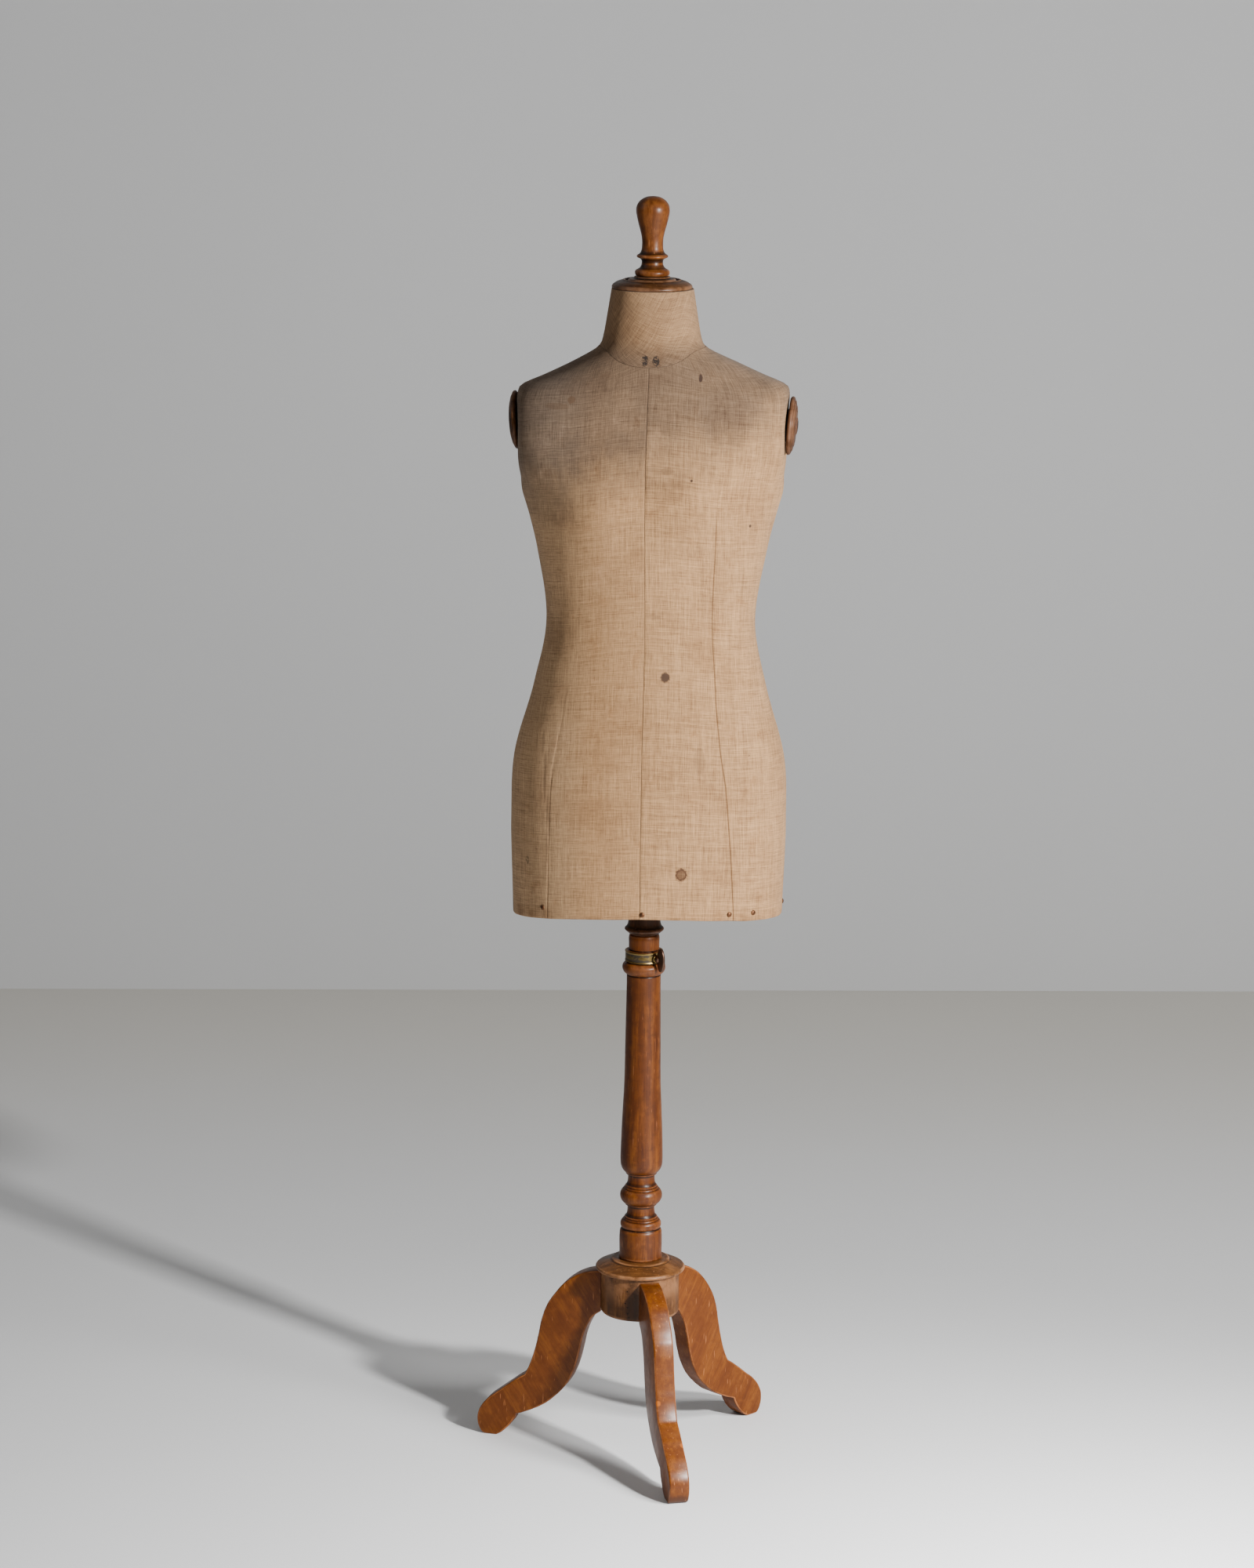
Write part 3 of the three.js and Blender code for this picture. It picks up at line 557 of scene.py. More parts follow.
def make_clamp():
    band_shape = outline([
        [22.4, 644.8], [23.6, 644.9], (24.1, 645.6), [23.6, 647], [23.5, 651.7], [23.6, 656.4],
        (24.1, 657.8), [23.6, 658.5], [22.4, 658.6],
    ])
    band = object_of("clamp_band_ring", mesh_of("clamp_band", ring_lathe(BAND_SEAT_R + GAP, band_shape, 96)))
    boss_shape = outline([[0, 22.2], (5, 22.2), (5, 26.1), [4.8, 26.8], (4.2, 27.2), (3.6, 26.9), [0, 26.9]])
    combine(band, lathe(boss_shape, 40), "UNION", along_clamp())
    screw_hole = outline([[0, 10], (SCREW_R + GAP, 10), (SCREW_R + GAP, 30), [0, 30]])
    combine(band, lathe(screw_hole, 32), "DIFFERENCE", along_clamp())
    brass = metal("old_brass", ((0.090, 0.060, 0.020), (0.155, 0.106, 0.038)), (0.024, 0.016, 0.008),
                  (0.42, 0.6), 75, (0.46, 0.62))
    put(band, "stand", ["clamp_band"], brass)
    return brass


THREAD_PITCH = 1.0
THREAD_DEPTH = 0.28
LEAF_HALF_HEIGHT = 15


def make_thumb_screw():
    ridges = [(SCREW_R - THREAD_DEPTH * (k % 2), 15.6 + k * THREAD_PITCH / 2) for k in range(20)]
    shank_shape = outline([
        [0, 15.5], (2.5, 15.5), *ridges, (2.7, 26.4), [3, 27], [4.2, 28.4], [4.4, 30.4], (3.6, 33), [0, 34],
    ])
    shank = object_of("thumb_screw_leaf", mesh_of("thumb_screw", lathe(shank_shape, 32)), along_clamp())
    around = np.linspace(0, 2 * math.pi, 72, endpoint=False)
    leaf_shape = np.stack([35.5 + 7 * np.cos(around), LEAF_HALF_HEIGHT * np.sin(around)], axis=1)
    leaf = board(leaf_shape, 3.6, 1.3)
    standing = Matrix.Translation((0, 0, CLAMP_Z * MM)) @ turn_z(CLAMP_AZIMUTH)
    combine(shank, leaf, "UNION", standing)
    iron = metal("bronzed_iron", ((0.035, 0.020, 0.014), (0.10, 0.055, 0.036)), (0.020, 0.012, 0.009),
                 (0.36, 0.5), 120, (0.42, 0.7))
    put(shank, "thumb_screw", ["thumb_screw"], iron)


# ---- the pole ----
def make_pole():
    pole_shape = outline([
        [0, 397], (11.6, 397), [12.3, 397.5], (POLE_R, 398.4),
        (POLE_R, 795.6), [12.3, 796.5], (11.6, 797), [0, 797],
    ])
    pole_wood = wood("pole_wood", TURNED_TONES, "Z", 8.3, 0.08, 0.7)
    turned("inner_pole", lathe(pole_shape, 64), "pole", pole_wood, "plain_wood")
    collar_shape = outline([
        [17.8, 679.7], [19, 680.4], [21.4, 682.4], (23.8, 684.4), [24.5, 685.2], [24.6, 686.6],
        (24, 687.6), [22, 689.6], [20.8, 692.6], [20.1, 697], (19.7, 704), [19.6, 721.7],
    ])
    collar_wood = wood("collar_wood", DARK_TONES, "Z", 2.2, 0.12, 0.5)
    turned("pole_collar", ring_lathe(POLE_R + GAP, collar_shape, 96), "pole", collar_wood, "dark_wood")


# ---- the torso's surface: the same formulas as the CAD source, on arrays ----
STATIONS = np.array([  # height, half width, depth in front, depth behind
    [707, 168.5, 112, 112], [732, 169.3, 112, 113], [830, 171.6, 112, 118], [910, 168.0, 109, 115],
    [1000, 143.5, 98, 100], [1080, 129.3, 88, 86], [1165, 141.2, 98, 88], [1240, 160.8, 107, 96],
    [1285, 180.0, 103, 98], [1325, 184.0, 93, 96], [1354, 180.0, 84, 91], [1370, 163.5, 78.5, 86],
    [1384, 131.8, 72.5, 79], [1408, 81.0, 63.5, 67], [1417, 67.0, 61, 63], [1430, 59.9, 57, 59],
    [1488, 50.2, 49.9, 50.4],
])
HEM_Z, TOP_Z = STATIONS[0, 0], STATIONS[-1, 0]
TOP = len(STATIONS) - 1
ARM_Z = 1324
SHOULDER_LEAN = 0.02                                        # the right shoulder stands higher
ARM_WALL_X = 166.5
ARM_SLOPE = 0.0687
BUST = 7
HEM_LIFT_FRONT = 15
HEM_LIFT_BACK = 7
HEM_LEAN = 0.02                                             # the hem climbs a little from left to right
HEM_LEAN_FROM = -60
LINEN = 1.6
SHELL = 5.2
SHELL_TOP = LINEN + GAP
INSIDE = SHELL_TOP + SHELL + GAP + 0.4


def smooth_step(value, low, high):
    t = np.clip((value - low) / (high - low), 0, 1)
    return t * t * (3 - 2 * t)


def soft_min(value, limit, blend):
    h = np.clip(0.5 + 0.5 * (limit - value) / blend, 0, 1)
    return limit + (value - limit) * h - blend * h * (1 - h)


def station(v):
    i = np.minimum(np.floor(v).astype(int), TOP - 1)
    t = (v - i)[..., None]
    p, q, r, s = (STATIONS[np.clip(i + k, 0, TOP)] for k in (-1, 0, 1, 2))
    return q + 0.5 * t * (r - p + t * (2 * p - 5 * q + 4 * r - s + t * (3 * (q - r) + s - p)))


V_TABLE = np.linspace(0, TOP, 3201)
HEIGHT_TABLE = station(V_TABLE)[:, 0]


def v_at(height):
    return np.interp(height, HEIGHT_TABLE, V_TABLE)


def surface(angle, v):
    """Points of the outer surface: angle in radians round from the front, v counted in stations."""
    height, half_width, front, back = np.moveaxis(station(v), -1, 0)
    facing, side = np.cos(angle), np.sign(np.sin(angle))
    x = half_width * np.abs(np.sin(angle))
    y = -np.where(facing > 0, front, back) * facing
    wall = ARM_WALL_X + ARM_SLOPE * (height - ARM_Z)
    near_arm = smooth_step(height, 1235, 1262) * (1 - smooth_step(height, 1362, 1376))
    x = x + near_arm * (soft_min(x, wall, 14) - x)
    from_arm = np.hypot(y, height - ARM_Z) / 40
    x = x - near_arm * 3.5 * np.exp(-(from_arm ** 4)) * smooth_step(x, 120, 160)
    bust = np.exp(-(((x - 66) / 42) ** 2) - ((height - 1232) / 50) ** 2)
    y = y - np.where(facing > 0, BUST * bust * smooth_step(facing, 0, 0.6), 0)
    lift = np.where(facing > 0, HEM_LIFT_FRONT, HEM_LIFT_BACK) * facing ** 2
    at_shoulders = smooth_step(height, 1180, 1300) * (1 - smooth_step(height, 1395, 1425))
    at_hem = 1 - smooth_step(height, 707, 790)
    hem_rise = lift + HEM_LEAN * (side * x - HEM_LEAN_FROM)
    z = height + hem_rise * at_hem + SHOULDER_LEAN * side * x * at_shoulders
    shift = 3.4 - 2.4 * smooth_step(height, 1380, 1430)
    return np.stack([side * x + shift, y, z], axis=-1)


def normal_at(angle, v):
    """Outward directions; the hem's and the neck's are level."""
    step, rise = 0.004, 0.03
    along = surface(angle + step, v) - surface(angle - step, v)
    up = surface(angle, np.minimum(v + rise, TOP)) - surface(angle, np.maximum(v - rise, 0))
    normal = np.cross(along, up)
    level = np.minimum(smooth_step(v, 0, 0.12), smooth_step(TOP - v, 0, 0.12))
    normal /= np.linalg.norm(normal, axis=-1, keepdims=True)
    normal[..., 2] *= level
    return normal / np.linalg.norm(normal, axis=-1, keepdims=True)


def rolling(angle, height, scale, seed):
    """Soft random hills over the torso, from about -1 to 1."""
    flat_angle, flat_height = np.broadcast_arrays(angle, height)
    values = [noise.noise((math.cos(a) * 150 / scale, math.sin(a) * 150 / scale + seed, h / scale))
              for a, h in zip(flat_angle.ravel(), flat_height.ravel())]
    return np.array(values).reshape(flat_angle.shape)


def skin(outer, inner):
    """A closed skin from two grids of points, row by row upwards. Gives points and faces."""
    rows, columns = outer.shape[:2]
    points = np.concatenate([outer.reshape(-1, 3), inner.reshape(-1, 3)])
    index = np.arange(rows * columns).reshape(rows, columns)
    under = index + rows * columns

    def strip(a, b, c, d):
        return np.stack([a.ravel(), b.ravel(), c.ravel(), d.ravel()], axis=1)

    faces = [
        strip(index[:-1, :-1], index[:-1, 1:], index[1:, 1:], index[1:, :-1]),
        strip(under[:-1, :-1], under[1:, :-1], under[1:, 1:], under[:-1, 1:]),
        strip(index[:-1, 0], index[1:, 0], under[1:, 0], under[:-1, 0]),
        strip(index[:-1, -1], under[:-1, -1], under[1:, -1], index[1:, -1]),
        strip(index[0, :-1], under[0, :-1], under[0, 1:], index[0, 1:]),
        strip(index[-1, :-1], index[-1, 1:], under[-1, 1:], under[-1, :-1]),
    ]
    return points, np.concatenate(faces).tolist()


def neck_line(angle):
    """Height of the seam between the body cover and the neck band; it dips in front."""
    facing = np.cos(angle)
    return 1418.5 - np.where(facing > 0, 19.5, 5) * facing ** 4


SEAM = 0.1                                                  # degrees kept clear at a seam
EDGE_STEPS = np.array([0, 0.12, 0.3, 0.55, 1.0, 1.7])       # degrees from a seam to the columns beside it
# The long front seams: height, degrees from the centre front.
DART_RIGHT = np.array([[707, 42.4], [785, 40], [924, 35.2], [977, 36.4], [1044, 39], [1085, 39],
                       [1182, 35.8], [1230, 33.2], [1420, 30]])
DART_LEFT = np.array([[707, 44.3], [820, 42.6], [890, 41.8], [977, 41], [1085, 40], [1182, 37],
                      [1230, 34], [1420, 30]])
LEFT_DART_STRENGTH = 0.12
DART_TOP = (1195, 1250)                                     # the seam fades out between these heights


def dart_at(table, height):
    heights = np.linspace(HEM_Z, 1420, 200)
    kernel = np.hanning(15)
    rough = np.interp(heights, table[:, 0], table[:, 1])
    padded = np.pad(rough, 7, mode="edge")
    return np.interp(height, heights, np.convolve(padded, kernel / kernel.sum(), "valid"))


def span_columns(start, end, count):
    """Angles from start to end, in degrees per row, closer together beside both ends."""
    width = (end - start)
    near_start = EDGE_STEPS[None, :] / width[:, None]
    near_end = 1 - near_start[:, ::-1]
    low, high = near_start[:, -1:], near_end[:, :1]
    middle = low + (high - low) * np.linspace(0, 1, count)[None, 1:-1]
    share = np.concatenate([near_start, middle, near_end], axis=1)
    return start[:, None] + width[:, None] * share


BODY_ROW = 4.2                                              # millimetres between rows of cloth points
EDGE_GAP = 0.15                                             # millimetres from the neck seam to each cover
HEM_TURN = [(6.6, 0.0), (4.0, 0.0), (2.0, 0.05), (0.8, 0.5), (0.2, 1.3), (0.0, 2.6)]  # depth, rise


def cover_grid(start, end, darts):
    """One body panel's rows and columns: angles, share of the height, and the long seam's column."""
    rows = round((1418 - HEM_Z) / BODY_ROW)
    share = np.linspace(0, 1, rows + 1)
    first_edge, last_edge = np.full(rows + 1, float(start)), np.full(rows + 1, float(end))
    if darts is None:
        return np.radians(span_columns(first_edge, last_edge, 46)), share, None
    sign = 1 if start >= 0 else -1
    dart = sign * dart_at(darts, HEM_Z + share * (1410 - HEM_Z))
    first = span_columns(first_edge, dart, 24)
    second = span_columns(dart, last_edge, 26)
    angles = np.concatenate([first, second[:, 1:]], axis=1)
    return np.radians(angles), share, first.shape[1] - 1


def seam_values(angles, heights, dart_column, dart_strength):
    """How strongly each point belongs to a seam, and how deep the seam's groove is there."""
    seam = np.zeros(angles.shape)
    groove = np.zeros(angles.shape)
    degrees = np.degrees(angles)
    for edge in (degrees[:, :1], degrees[:, -1:]):
        away = np.abs(degrees - edge)
        seam = np.maximum(seam, 0.62 * (1 - smooth_step(away, 0.0, 0.26)))
        groove = np.maximum(groove, 0.22 * (1 - smooth_step(away, 0.0, 0.55)))
    if dart_column is not None:
        away = np.abs(degrees - degrees[:, dart_column:dart_column + 1])
        fade = (1 - smooth_step(heights, *DART_TOP)) * dart_strength
        seam = np.maximum(seam, fade * (1 - smooth_step(away, 0.1, 0.55)))
        groove = np.maximum(groove, 0.5 * fade * (1 - smooth_step(away, 0.0, 0.55)))
    return seam, groove


def ripples(angles, heights):
    """Loose upright wrinkles beside the left long seam."""
    degrees = np.degrees(angles)
    band = np.exp(-((degrees + 44.5) / 6.5) ** 2)
    band = band * smooth_step(heights, 725, 780) * (1 - smooth_step(heights, 960, 1060))
    drift = rolling(angles, heights, 90, 3.0) * 2.0
    wave = np.sin(angles * 70 + drift * 3.2) + 0.6 * np.sin(angles * 121 + drift * 5)
    return 0.14 * band * wave


def cloth_mesh(name, outer, inner, seam, flat_u, flat_v):
    """The closed panel with its cloth coordinates and seam strength."""
    points, faces = skin(outer, inner)
    mesh = bpy.data.meshes.new(name)
    mesh.from_pydata((points * MM).tolist(), [], faces)
    both = np.concatenate([seam.ravel(), seam.ravel()]).astype(np.float32)
    mesh.attributes.new("seam", "FLOAT", "POINT").data.foreach_set("value", both)
    uv = np.stack([flat_u.ravel(), flat_v.ravel()], axis=1) * MM
    uv = np.concatenate([uv, uv]).astype(np.float32)
    loops = np.zeros(len(mesh.loops), np.int32)
    mesh.loops.foreach_get("vertex_index", loops)
    layer = mesh.uv_layers.new(name="cloth")
    layer.data.foreach_set("uv", uv[loops].ravel())
    mesh.update()
    return mesh


def flat_coordinates(points, zero_column):
    """Distances over the cloth: across from one column, and up from the lowest row."""
    across = np.linalg.norm(np.diff(points, axis=1), axis=2)
    across = np.concatenate([np.zeros((len(points), 1)), np.cumsum(across, axis=1)], axis=1)
    across -= across[:, zero_column:zero_column + 1]
    up = np.linalg.norm(np.diff(points, axis=0), axis=2)
    up = np.concatenate([np.zeros((1, points.shape[1])), np.cumsum(up, axis=0)])
    return across, up


def body_panel(name, start, end, darts):
    angles, share, dart_column = cover_grid(start, end, darts)
    low = HEM_Z + HEM_TURN[-1][1]
    top = neck_line(angles) - EDGE_GAP
    heights = low + share[:, None] * (top - low)
    v = v_at(heights)
    strength = 1.0 if start >= 0 else LEFT_DART_STRENGTH + 0.5 * (1 - smooth_step(heights, 830, 960))
    seam, groove = seam_values(angles, heights, dart_column, strength)
    uneven = 0.5 * rolling(angles, heights, 70, 1.0) + 0.16 * rolling(angles, heights, 19, 2.0)
    swell = ripples(angles, heights) + uneven * smooth_step(heights, 712, 740)
    top_edge = 0.35 * (1 - smooth_step(top - heights, 0, 1.2))
    normal = normal_at(angles, v)
    outer = surface(angles, v) + normal * (np.maximum(swell, -0.9) - groove - top_edge)[..., None]
    inner = surface(angles, v) - normal * LINEN
    hem_wave = 0.7 * rolling(angles[:1], np.full_like(angles[:1], 30.0), 34, 5.0)
    fade = 1 - smooth_step(heights - HEM_Z, 0, 16)
    outer[..., 2] += fade * hem_wave
    inner[..., 2] += fade * hem_wave
    # the cloth turns under the shell's lower edge
    hem_v = np.zeros_like(angles[0])
    hem_normal = normal_at(angles[0], hem_v)
    base = surface(angles[0], hem_v)
    base[:, 2] += hem_wave[0]
    outer_rows, inner_rows = [], []
    for depth, rise in HEM_TURN[:-1]:
        outer_rows.append(base - hem_normal * depth + [0, 0, rise])
        inner_rows.append(base - hem_normal * max(depth, LINEN) + [0, 0, max(rise, 1.2)])
    outer = np.concatenate([np.array(outer_rows), outer])
    inner = np.concatenate([np.array(inner_rows), inner])
    turned = len(outer_rows)
    seam = np.concatenate([np.repeat(seam[:1], turned, axis=0), seam])
    zero = 0 if start >= 0 else outer.shape[1] - 1
    across, up = flat_coordinates(outer, zero)
    if dart_column is not None and zero == 0:
        beyond = np.arange(outer.shape[1]) > dart_column
        across[:, beyond] += 40 - across[:, dart_column:dart_column + 1] * 0.35
    return cloth_mesh(name, outer, inner, seam, across, up)


def neck_panel(name, start, end):
    rows = 22
    share = np.linspace(0, 1, rows)
    angles = np.radians(span_columns(np.full(rows, start), np.full(rows, end), 72))
    low = neck_line(angles) + EDGE_GAP
    heights = low + share[:, None] * (TOP_Z - low)
    v = v_at(heights)
    degrees = np.degrees(angles)
    away = np.minimum(degrees - degrees[:, :1], degrees[:, -1:] - degrees)
    seam = 1 - smooth_step(away, 0, 0.4)
    low_edge = 1 - smooth_step(heights - low, 0, 1.6)
    swell = 0.25 * rolling(angles, heights, 40, 7.0)
    normal = normal_at(angles, v)
    lowered = 0.35 * low_edge + 0.5 * seam
    outer = surface(angles, v) + normal * (swell - lowered)[..., None]
    inner = surface(angles, v) - normal * LINEN
    across, up = flat_coordinates(outer, 0)
    return cloth_mesh(name, outer, inner, np.maximum(seam, 0.36 * low_edge), across, up)


def shell_mesh(name, start, end):
    heights = np.append(np.arange(HEM_Z + SHELL_TOP, TOP_Z - 2, 5.0), TOP_Z)
    angles = np.radians(np.linspace(start, end, 73))
    angle_grid, height_grid = np.meshgrid(angles, heights)
    v = v_at(height_grid)
    normal = normal_at(angle_grid, v)
    at = surface(angle_grid, v)
    outer, inner = at - normal * SHELL_TOP, at - normal * (SHELL_TOP + SHELL)
    points, faces = skin(outer, inner)
    return mesh_of(name, (points, faces, np.zeros(len(points))))


# ---- linen ----
# Marks on the cloth: degrees round, height, half width, half height, strength, kind of ink.
STAINS = {
    "worn_mark_1": (-3.0, 1407, 4.0, 7.4, 1.0, "dark"),
    "worn_mark_2": (6.2, 1406.6, 4.2, 7.6, 1.0, "dark"),
    "dash": (29.5, 1386.5, 2.4, 6.4, 0.95, "solid"),
    "shoulder_spot": (-32, 1358.5, 5.0, 4.6, 0.7, "brown"),
    "shoulder_smear": (-38, 1350, 16, 4.0, 0.35, "brown"),
    "breast_blot": (8.5, 1279, 8.0, 4.4, 0.38, "brown"),
    "waist_blot": (5, 1098, 8.0, 3.4, 0.28, "brown"),
    "left_fold_1": (-46, 900, 1.6, 46, 0.45, "brown"),
    "left_fold_2": (-50.5, 935, 1.4, 30, 0.4, "brown"),
    "left_fold_3": (-43.5, 830, 1.4, 38, 0.4, "brown"),
    "breast_dot": (18.8, 1268, 1.5, 1.5, 0.95, "solid"),
    "side_dot": (55.5, 1208, 1.4, 1.8, 0.9, "solid"),
    "waist_spot": (11, 1024, 5.6, 6.2, 0.92, "solid"),
    "hip_dot": (51, 925, 1.2, 1.2, 0.75, "dark"),
    "belly_blot": (25, 922, 7, 17, 0.30, "brown"),
    "low_spot": (17, 780.5, 7.0, 7.6, 1.0, "ringed"),
    "left_blot": (-58, 783, 3.2, 5.4, 0.5, "dark"),
}
INKS = {
    "dark": (0.020, 0.014, 0.011),
    "solid": (0.036, 0.020, 0.014),
    "brown": (0.088, 0.047, 0.024),
    "ringed": (0.046, 0.019, 0.010),
}
LINEN_DARK = (0.144, 0.075, 0.0330)
LINEN_LIGHT = (0.422, 0.243, 0.1120)
# painted light: a cool fill light painted on the cloth's left side
LEFT_SIDE_PAINTED_COOL_FILL = (1.10, 1.22, 1.40)
# tint, edge and neck share of the darkening on the upper chest and shoulders
UPPER_DARKENING_TINT = (0.42, 0.47, 0.62)
UPPER_DARKENING_CLIMB = -0.30
UPPER_DARKENING_EDGE = (1.225, 1.335)
NECK_DARKENING_SHARE = 0.50
SEAM_SHADE = (0.42, 0.36, 0.32)


def linen(name, lean=0.0, seed=0.0, marked=False):
    """Plain-woven linen with uneven yarns, darker on the upper chest and shoulders and where it faces
    upwards, darkened along its seams, and painted lighter and cooler on its left side as painted fill light.
    """
    f = Finish(name)

    def yarns(across, up, detail=3.0):
        turned = f.place(turn=(0, 0, lean), source="Cloth")
        links = {"Vector": turned, "Scale": (across, up, 1), "Location": (seed, seed * 1.3, seed)}
        return f.noise(f.node("Mapping", links).outputs[0], 1, detail, 0.6)

    warp, weft = yarns(900, 20), yarns(20, 860)
    fine_warp, fine_weft = yarns(1900, 90, 1), yarns(90, 1800, 1)
    bands = f.math("ADD", yarns(320, 9), yarns(9, 340))
    fine = f.math("ADD", fine_warp, fine_weft)
    weave = f.math("MULTIPLY_ADD", fine, 0.8, f.math("ADD", warp, weft))
    tone = f.math("MULTIPLY_ADD", bands, 0.22, f.math("MULTIPLY", weave, 0.60))
    colour = f.mix(f.span(tone, 1.02, 1.58, 0.0, 1.0, False), LINEN_DARK, LINEN_LIGHT)
    here = f.place()
    clouds = f.noise(f.place(shift=(seed, 0, 0)), 11, 5, 0.66)
    blotches = f.noise(f.place(shift=(0, seed, 0)), 42, 5, 0.68)
    freckles = f.noise(f.place(shift=(0, 0, seed)), 170, 4, 0.7)
    split = f.node("SeparateXYZ", {0: here}).outputs
    height = split[2]
    facing = f.node("SeparateXYZ", {0: f.node("NewGeometry").outputs["Normal"]}).outputs[2]
    # the cloth is darker on the upper chest and the shoulders, the lower edge of that zone climbs towards
    # the right arm, and cloth that faces upwards is darkened too
    level = f.math("MULTIPLY_ADD", split[0], UPPER_DARKENING_CLIMB, height)
    level = f.math("MULTIPLY_ADD", f.math("SUBTRACT", clouds, 0.5), 0.11, level)
    upper_darkening = f.math("MULTIPLY", f.span(level, *UPPER_DARKENING_EDGE), f.span(height, 1.400, 1.440, 1, NECK_DARKENING_SHARE))
    upper_darkening = f.math("MAXIMUM", upper_darkening, f.span(facing, 0.35, 0.85, 0, 0.30))
    upper_darkening = f.math("MULTIPLY", upper_darkening, f.span(clouds, 0.28, 0.60, 0.86, 1.0))
    colour = f.mix(upper_darkening, colour, UPPER_DARKENING_TINT, "MULTIPLY")
    for field, low, high, strength, tint in (
        (clouds, 0.48, 0.70, 0.50, (0.66, 0.60, 0.56)),
        (clouds, 0.44, 0.30, 0.50, (1.22, 1.24, 1.34)),
        (blotches, 0.55, 0.72, 0.45, (0.68, 0.58, 0.50)),
        (freckles, 0.64, 0.78, 0.50, (0.58, 0.49, 0.42)),
    ):
        colour = f.mix(f.span(field, low, high, 0, strength), colour, tint, "MULTIPLY")
    # painted light: the left side, turned away from the key light, is made lighter and cooler to stand in
    # for a bluish fill light
    colour = f.mix(f.span(split[0], -0.05, -0.12, 0, 0.85), colour, LEFT_SIDE_PAINTED_COOL_FILL, "MULTIPLY")
    hem = f.math("MULTIPLY", f.span(height, 0.712, 0.735, 1, 0), f.span(blotches, 0.35, 0.65, 0.1, 0.7))
    colour = f.mix(hem, colour, (0.55, 0.46, 0.38), "MULTIPLY")
    seam = f.attribute("seam")
    colour = f.mix(f.span(seam, 0.25, 0.95, 0, 0.9), colour, SEAM_SHADE, "MULTIPLY")
    if marked:
        for angle, mark_height, wide, tall, strength, kind in STAINS.values():
            centre = surface(np.radians(float(angle)), v_at(np.array(float(mark_height)))) * MM
            centre[2] = mark_height * MM if mark_height > 790 else centre[2]
            half = (wide * MM, max(wide, 4) * MM, tall * MM)
            spot = near(f, here, centre, half, 0.22, 0.9, 380)
            if kind == "ringed":
                heart = near(f, here, centre, [0.70 * h for h in half], 0.25, 0.7, 380)
                spot = f.math("MULTIPLY_ADD", heart, -0.30, spot)
            if kind == "dark":
                spot = f.math("MULTIPLY", spot, f.span(f.noise(here, 420, 3, 0.7), 0.40, 0.50))
            ink = INKS[kind]
            colour = f.mix(f.math("MULTIPLY", spot, strength), colour, ink)
    pits = f.math("MULTIPLY_ADD", fine, 0.6, f.math("ADD", warp, weft))
    normal = f.bump(pits, 0.00028, 0.6)
    f.plain(Sheen_Weight=0.05, Sheen_Roughness=0.6, Specular_IOR_Level=0.12)
    return f.finish(colour, 0.92, normal)


# Each body panel: its two edges in degrees, its long seam, and its flat area in square metres.
PANELS = {
    "cover_front_left": (-90, 0, DART_LEFT, 0.1462),
    "cover_front_right": (0, 90, DART_RIGHT, 0.1461),
    "cover_back_right": (90, 180, None, 0.1478),
    "cover_back_left": (180, 270, None, 0.1479),
}
HALVES = {"front": (-90, 90), "back": (90, 270)}


def arm_place(side):
    """The frame of an arm cap: its axis is Z, pointing outwards."""
    outward = Vector((side, 0, -ARM_SLOPE)).normalized()
    middle = Vector((side * (ARM_WALL_X - 0.8) + 3.4, 0, ARM_Z)) * MM
    return Matrix.Translation(middle) @ outward.to_track_quat("Z", "Y").to_matrix().to_4x4()


def open_arms(piece, sides):
    """Cuts the holes that the arm caps' spigots pass through."""
    hole = lathe(outline([[0, -30], (20.4, -30), (20.4, 20), [0, 20]]), 64)
    for side in sides:
        combine(piece, hole, "DIFFERENCE", arm_place(side))


def make_shells():
    paper = papier_mache()
    for half, (start, end) in HALVES.items():
        name = f"torso_shell_{half}"
        shell = object_of(f"shell_{half}_moulded", shell_mesh(name, start + SEAM, end - SEAM))
        open_arms(shell, (-1, 1))
        put(shell, "torso", [name], paper)


def make_covers():
    for number, (name, (start, end, darts, flat_area)) in enumerate(PANELS.items()):
        cover = object_of(name + "_linen", body_panel(name, start + SEAM, end - SEAM, darts))
        open_arms(cover, (1 if "right" in name else -1,))
        material = linen(name + "_weave", 0.0, 3.7 * number, "front" in name)
        put(cover, "torso", [name], material, 60)


def make_neck_bands():
    for half, (start, end) in HALVES.items():
        name = f"neck_band_{half}"
        band = object_of(name + "_linen", neck_panel(name, start + SEAM, end - SEAM))
        put(band, "torso", [name], linen(name + "_weave", 0.35, 11.0, half == "front"), 60)


# ---- wooden parts of the torso ----
def make_arm_caps():
    cap_shape = outline([
        [0, -16], (19.4, -16), (20, -15.4), (20, 0), (31.5, 0), [34.4, 0.7], [35.8, 2], [35.9, 3.6],
        [35, 5.1], (33.4, 5.9), [32.9, 4.7], (32.2, 4.6), [31.8, 6.3], [30.2, 7.6], (28.2, 8), [27.3, 6.9],
        (26.6, 6.8), [25.9, 8.4], [23.6, 9.4], (20.8, 9.7), [19.8, 8.7], (19, 8.6), [17.8, 9.4], [15, 9.6],
        (11.3, 9.6), (11.3, 8), [0, 8],
    ])
    button_shape = outline([[0, 8.3], (11, 8.3), (11, 9.8), [10.3, 10.7], [8.2, 11.4], [5, 11.9], [0, 12.2]])
    for name, side in (("left", -1), ("right", 1)):
        cap, button = f"arm_cap_{name}", f"arm_button_{name}"
        cap_wood = wood(cap + "_wood", ARM_TONES, "Y", 4.4 + side, 0.08, 0.9)
        turned(cap, lathe(cap_shape, 96), "torso", cap_wood, "turned_wood", arm_place(side))
        button_wood = wood(button + "_wood", DARK_TONES, "X", 6 + side)
        turned(button, lathe(button_shape, 64), "torso", button_wood, "dark_wood", arm_place(side))


STUD_R = 3


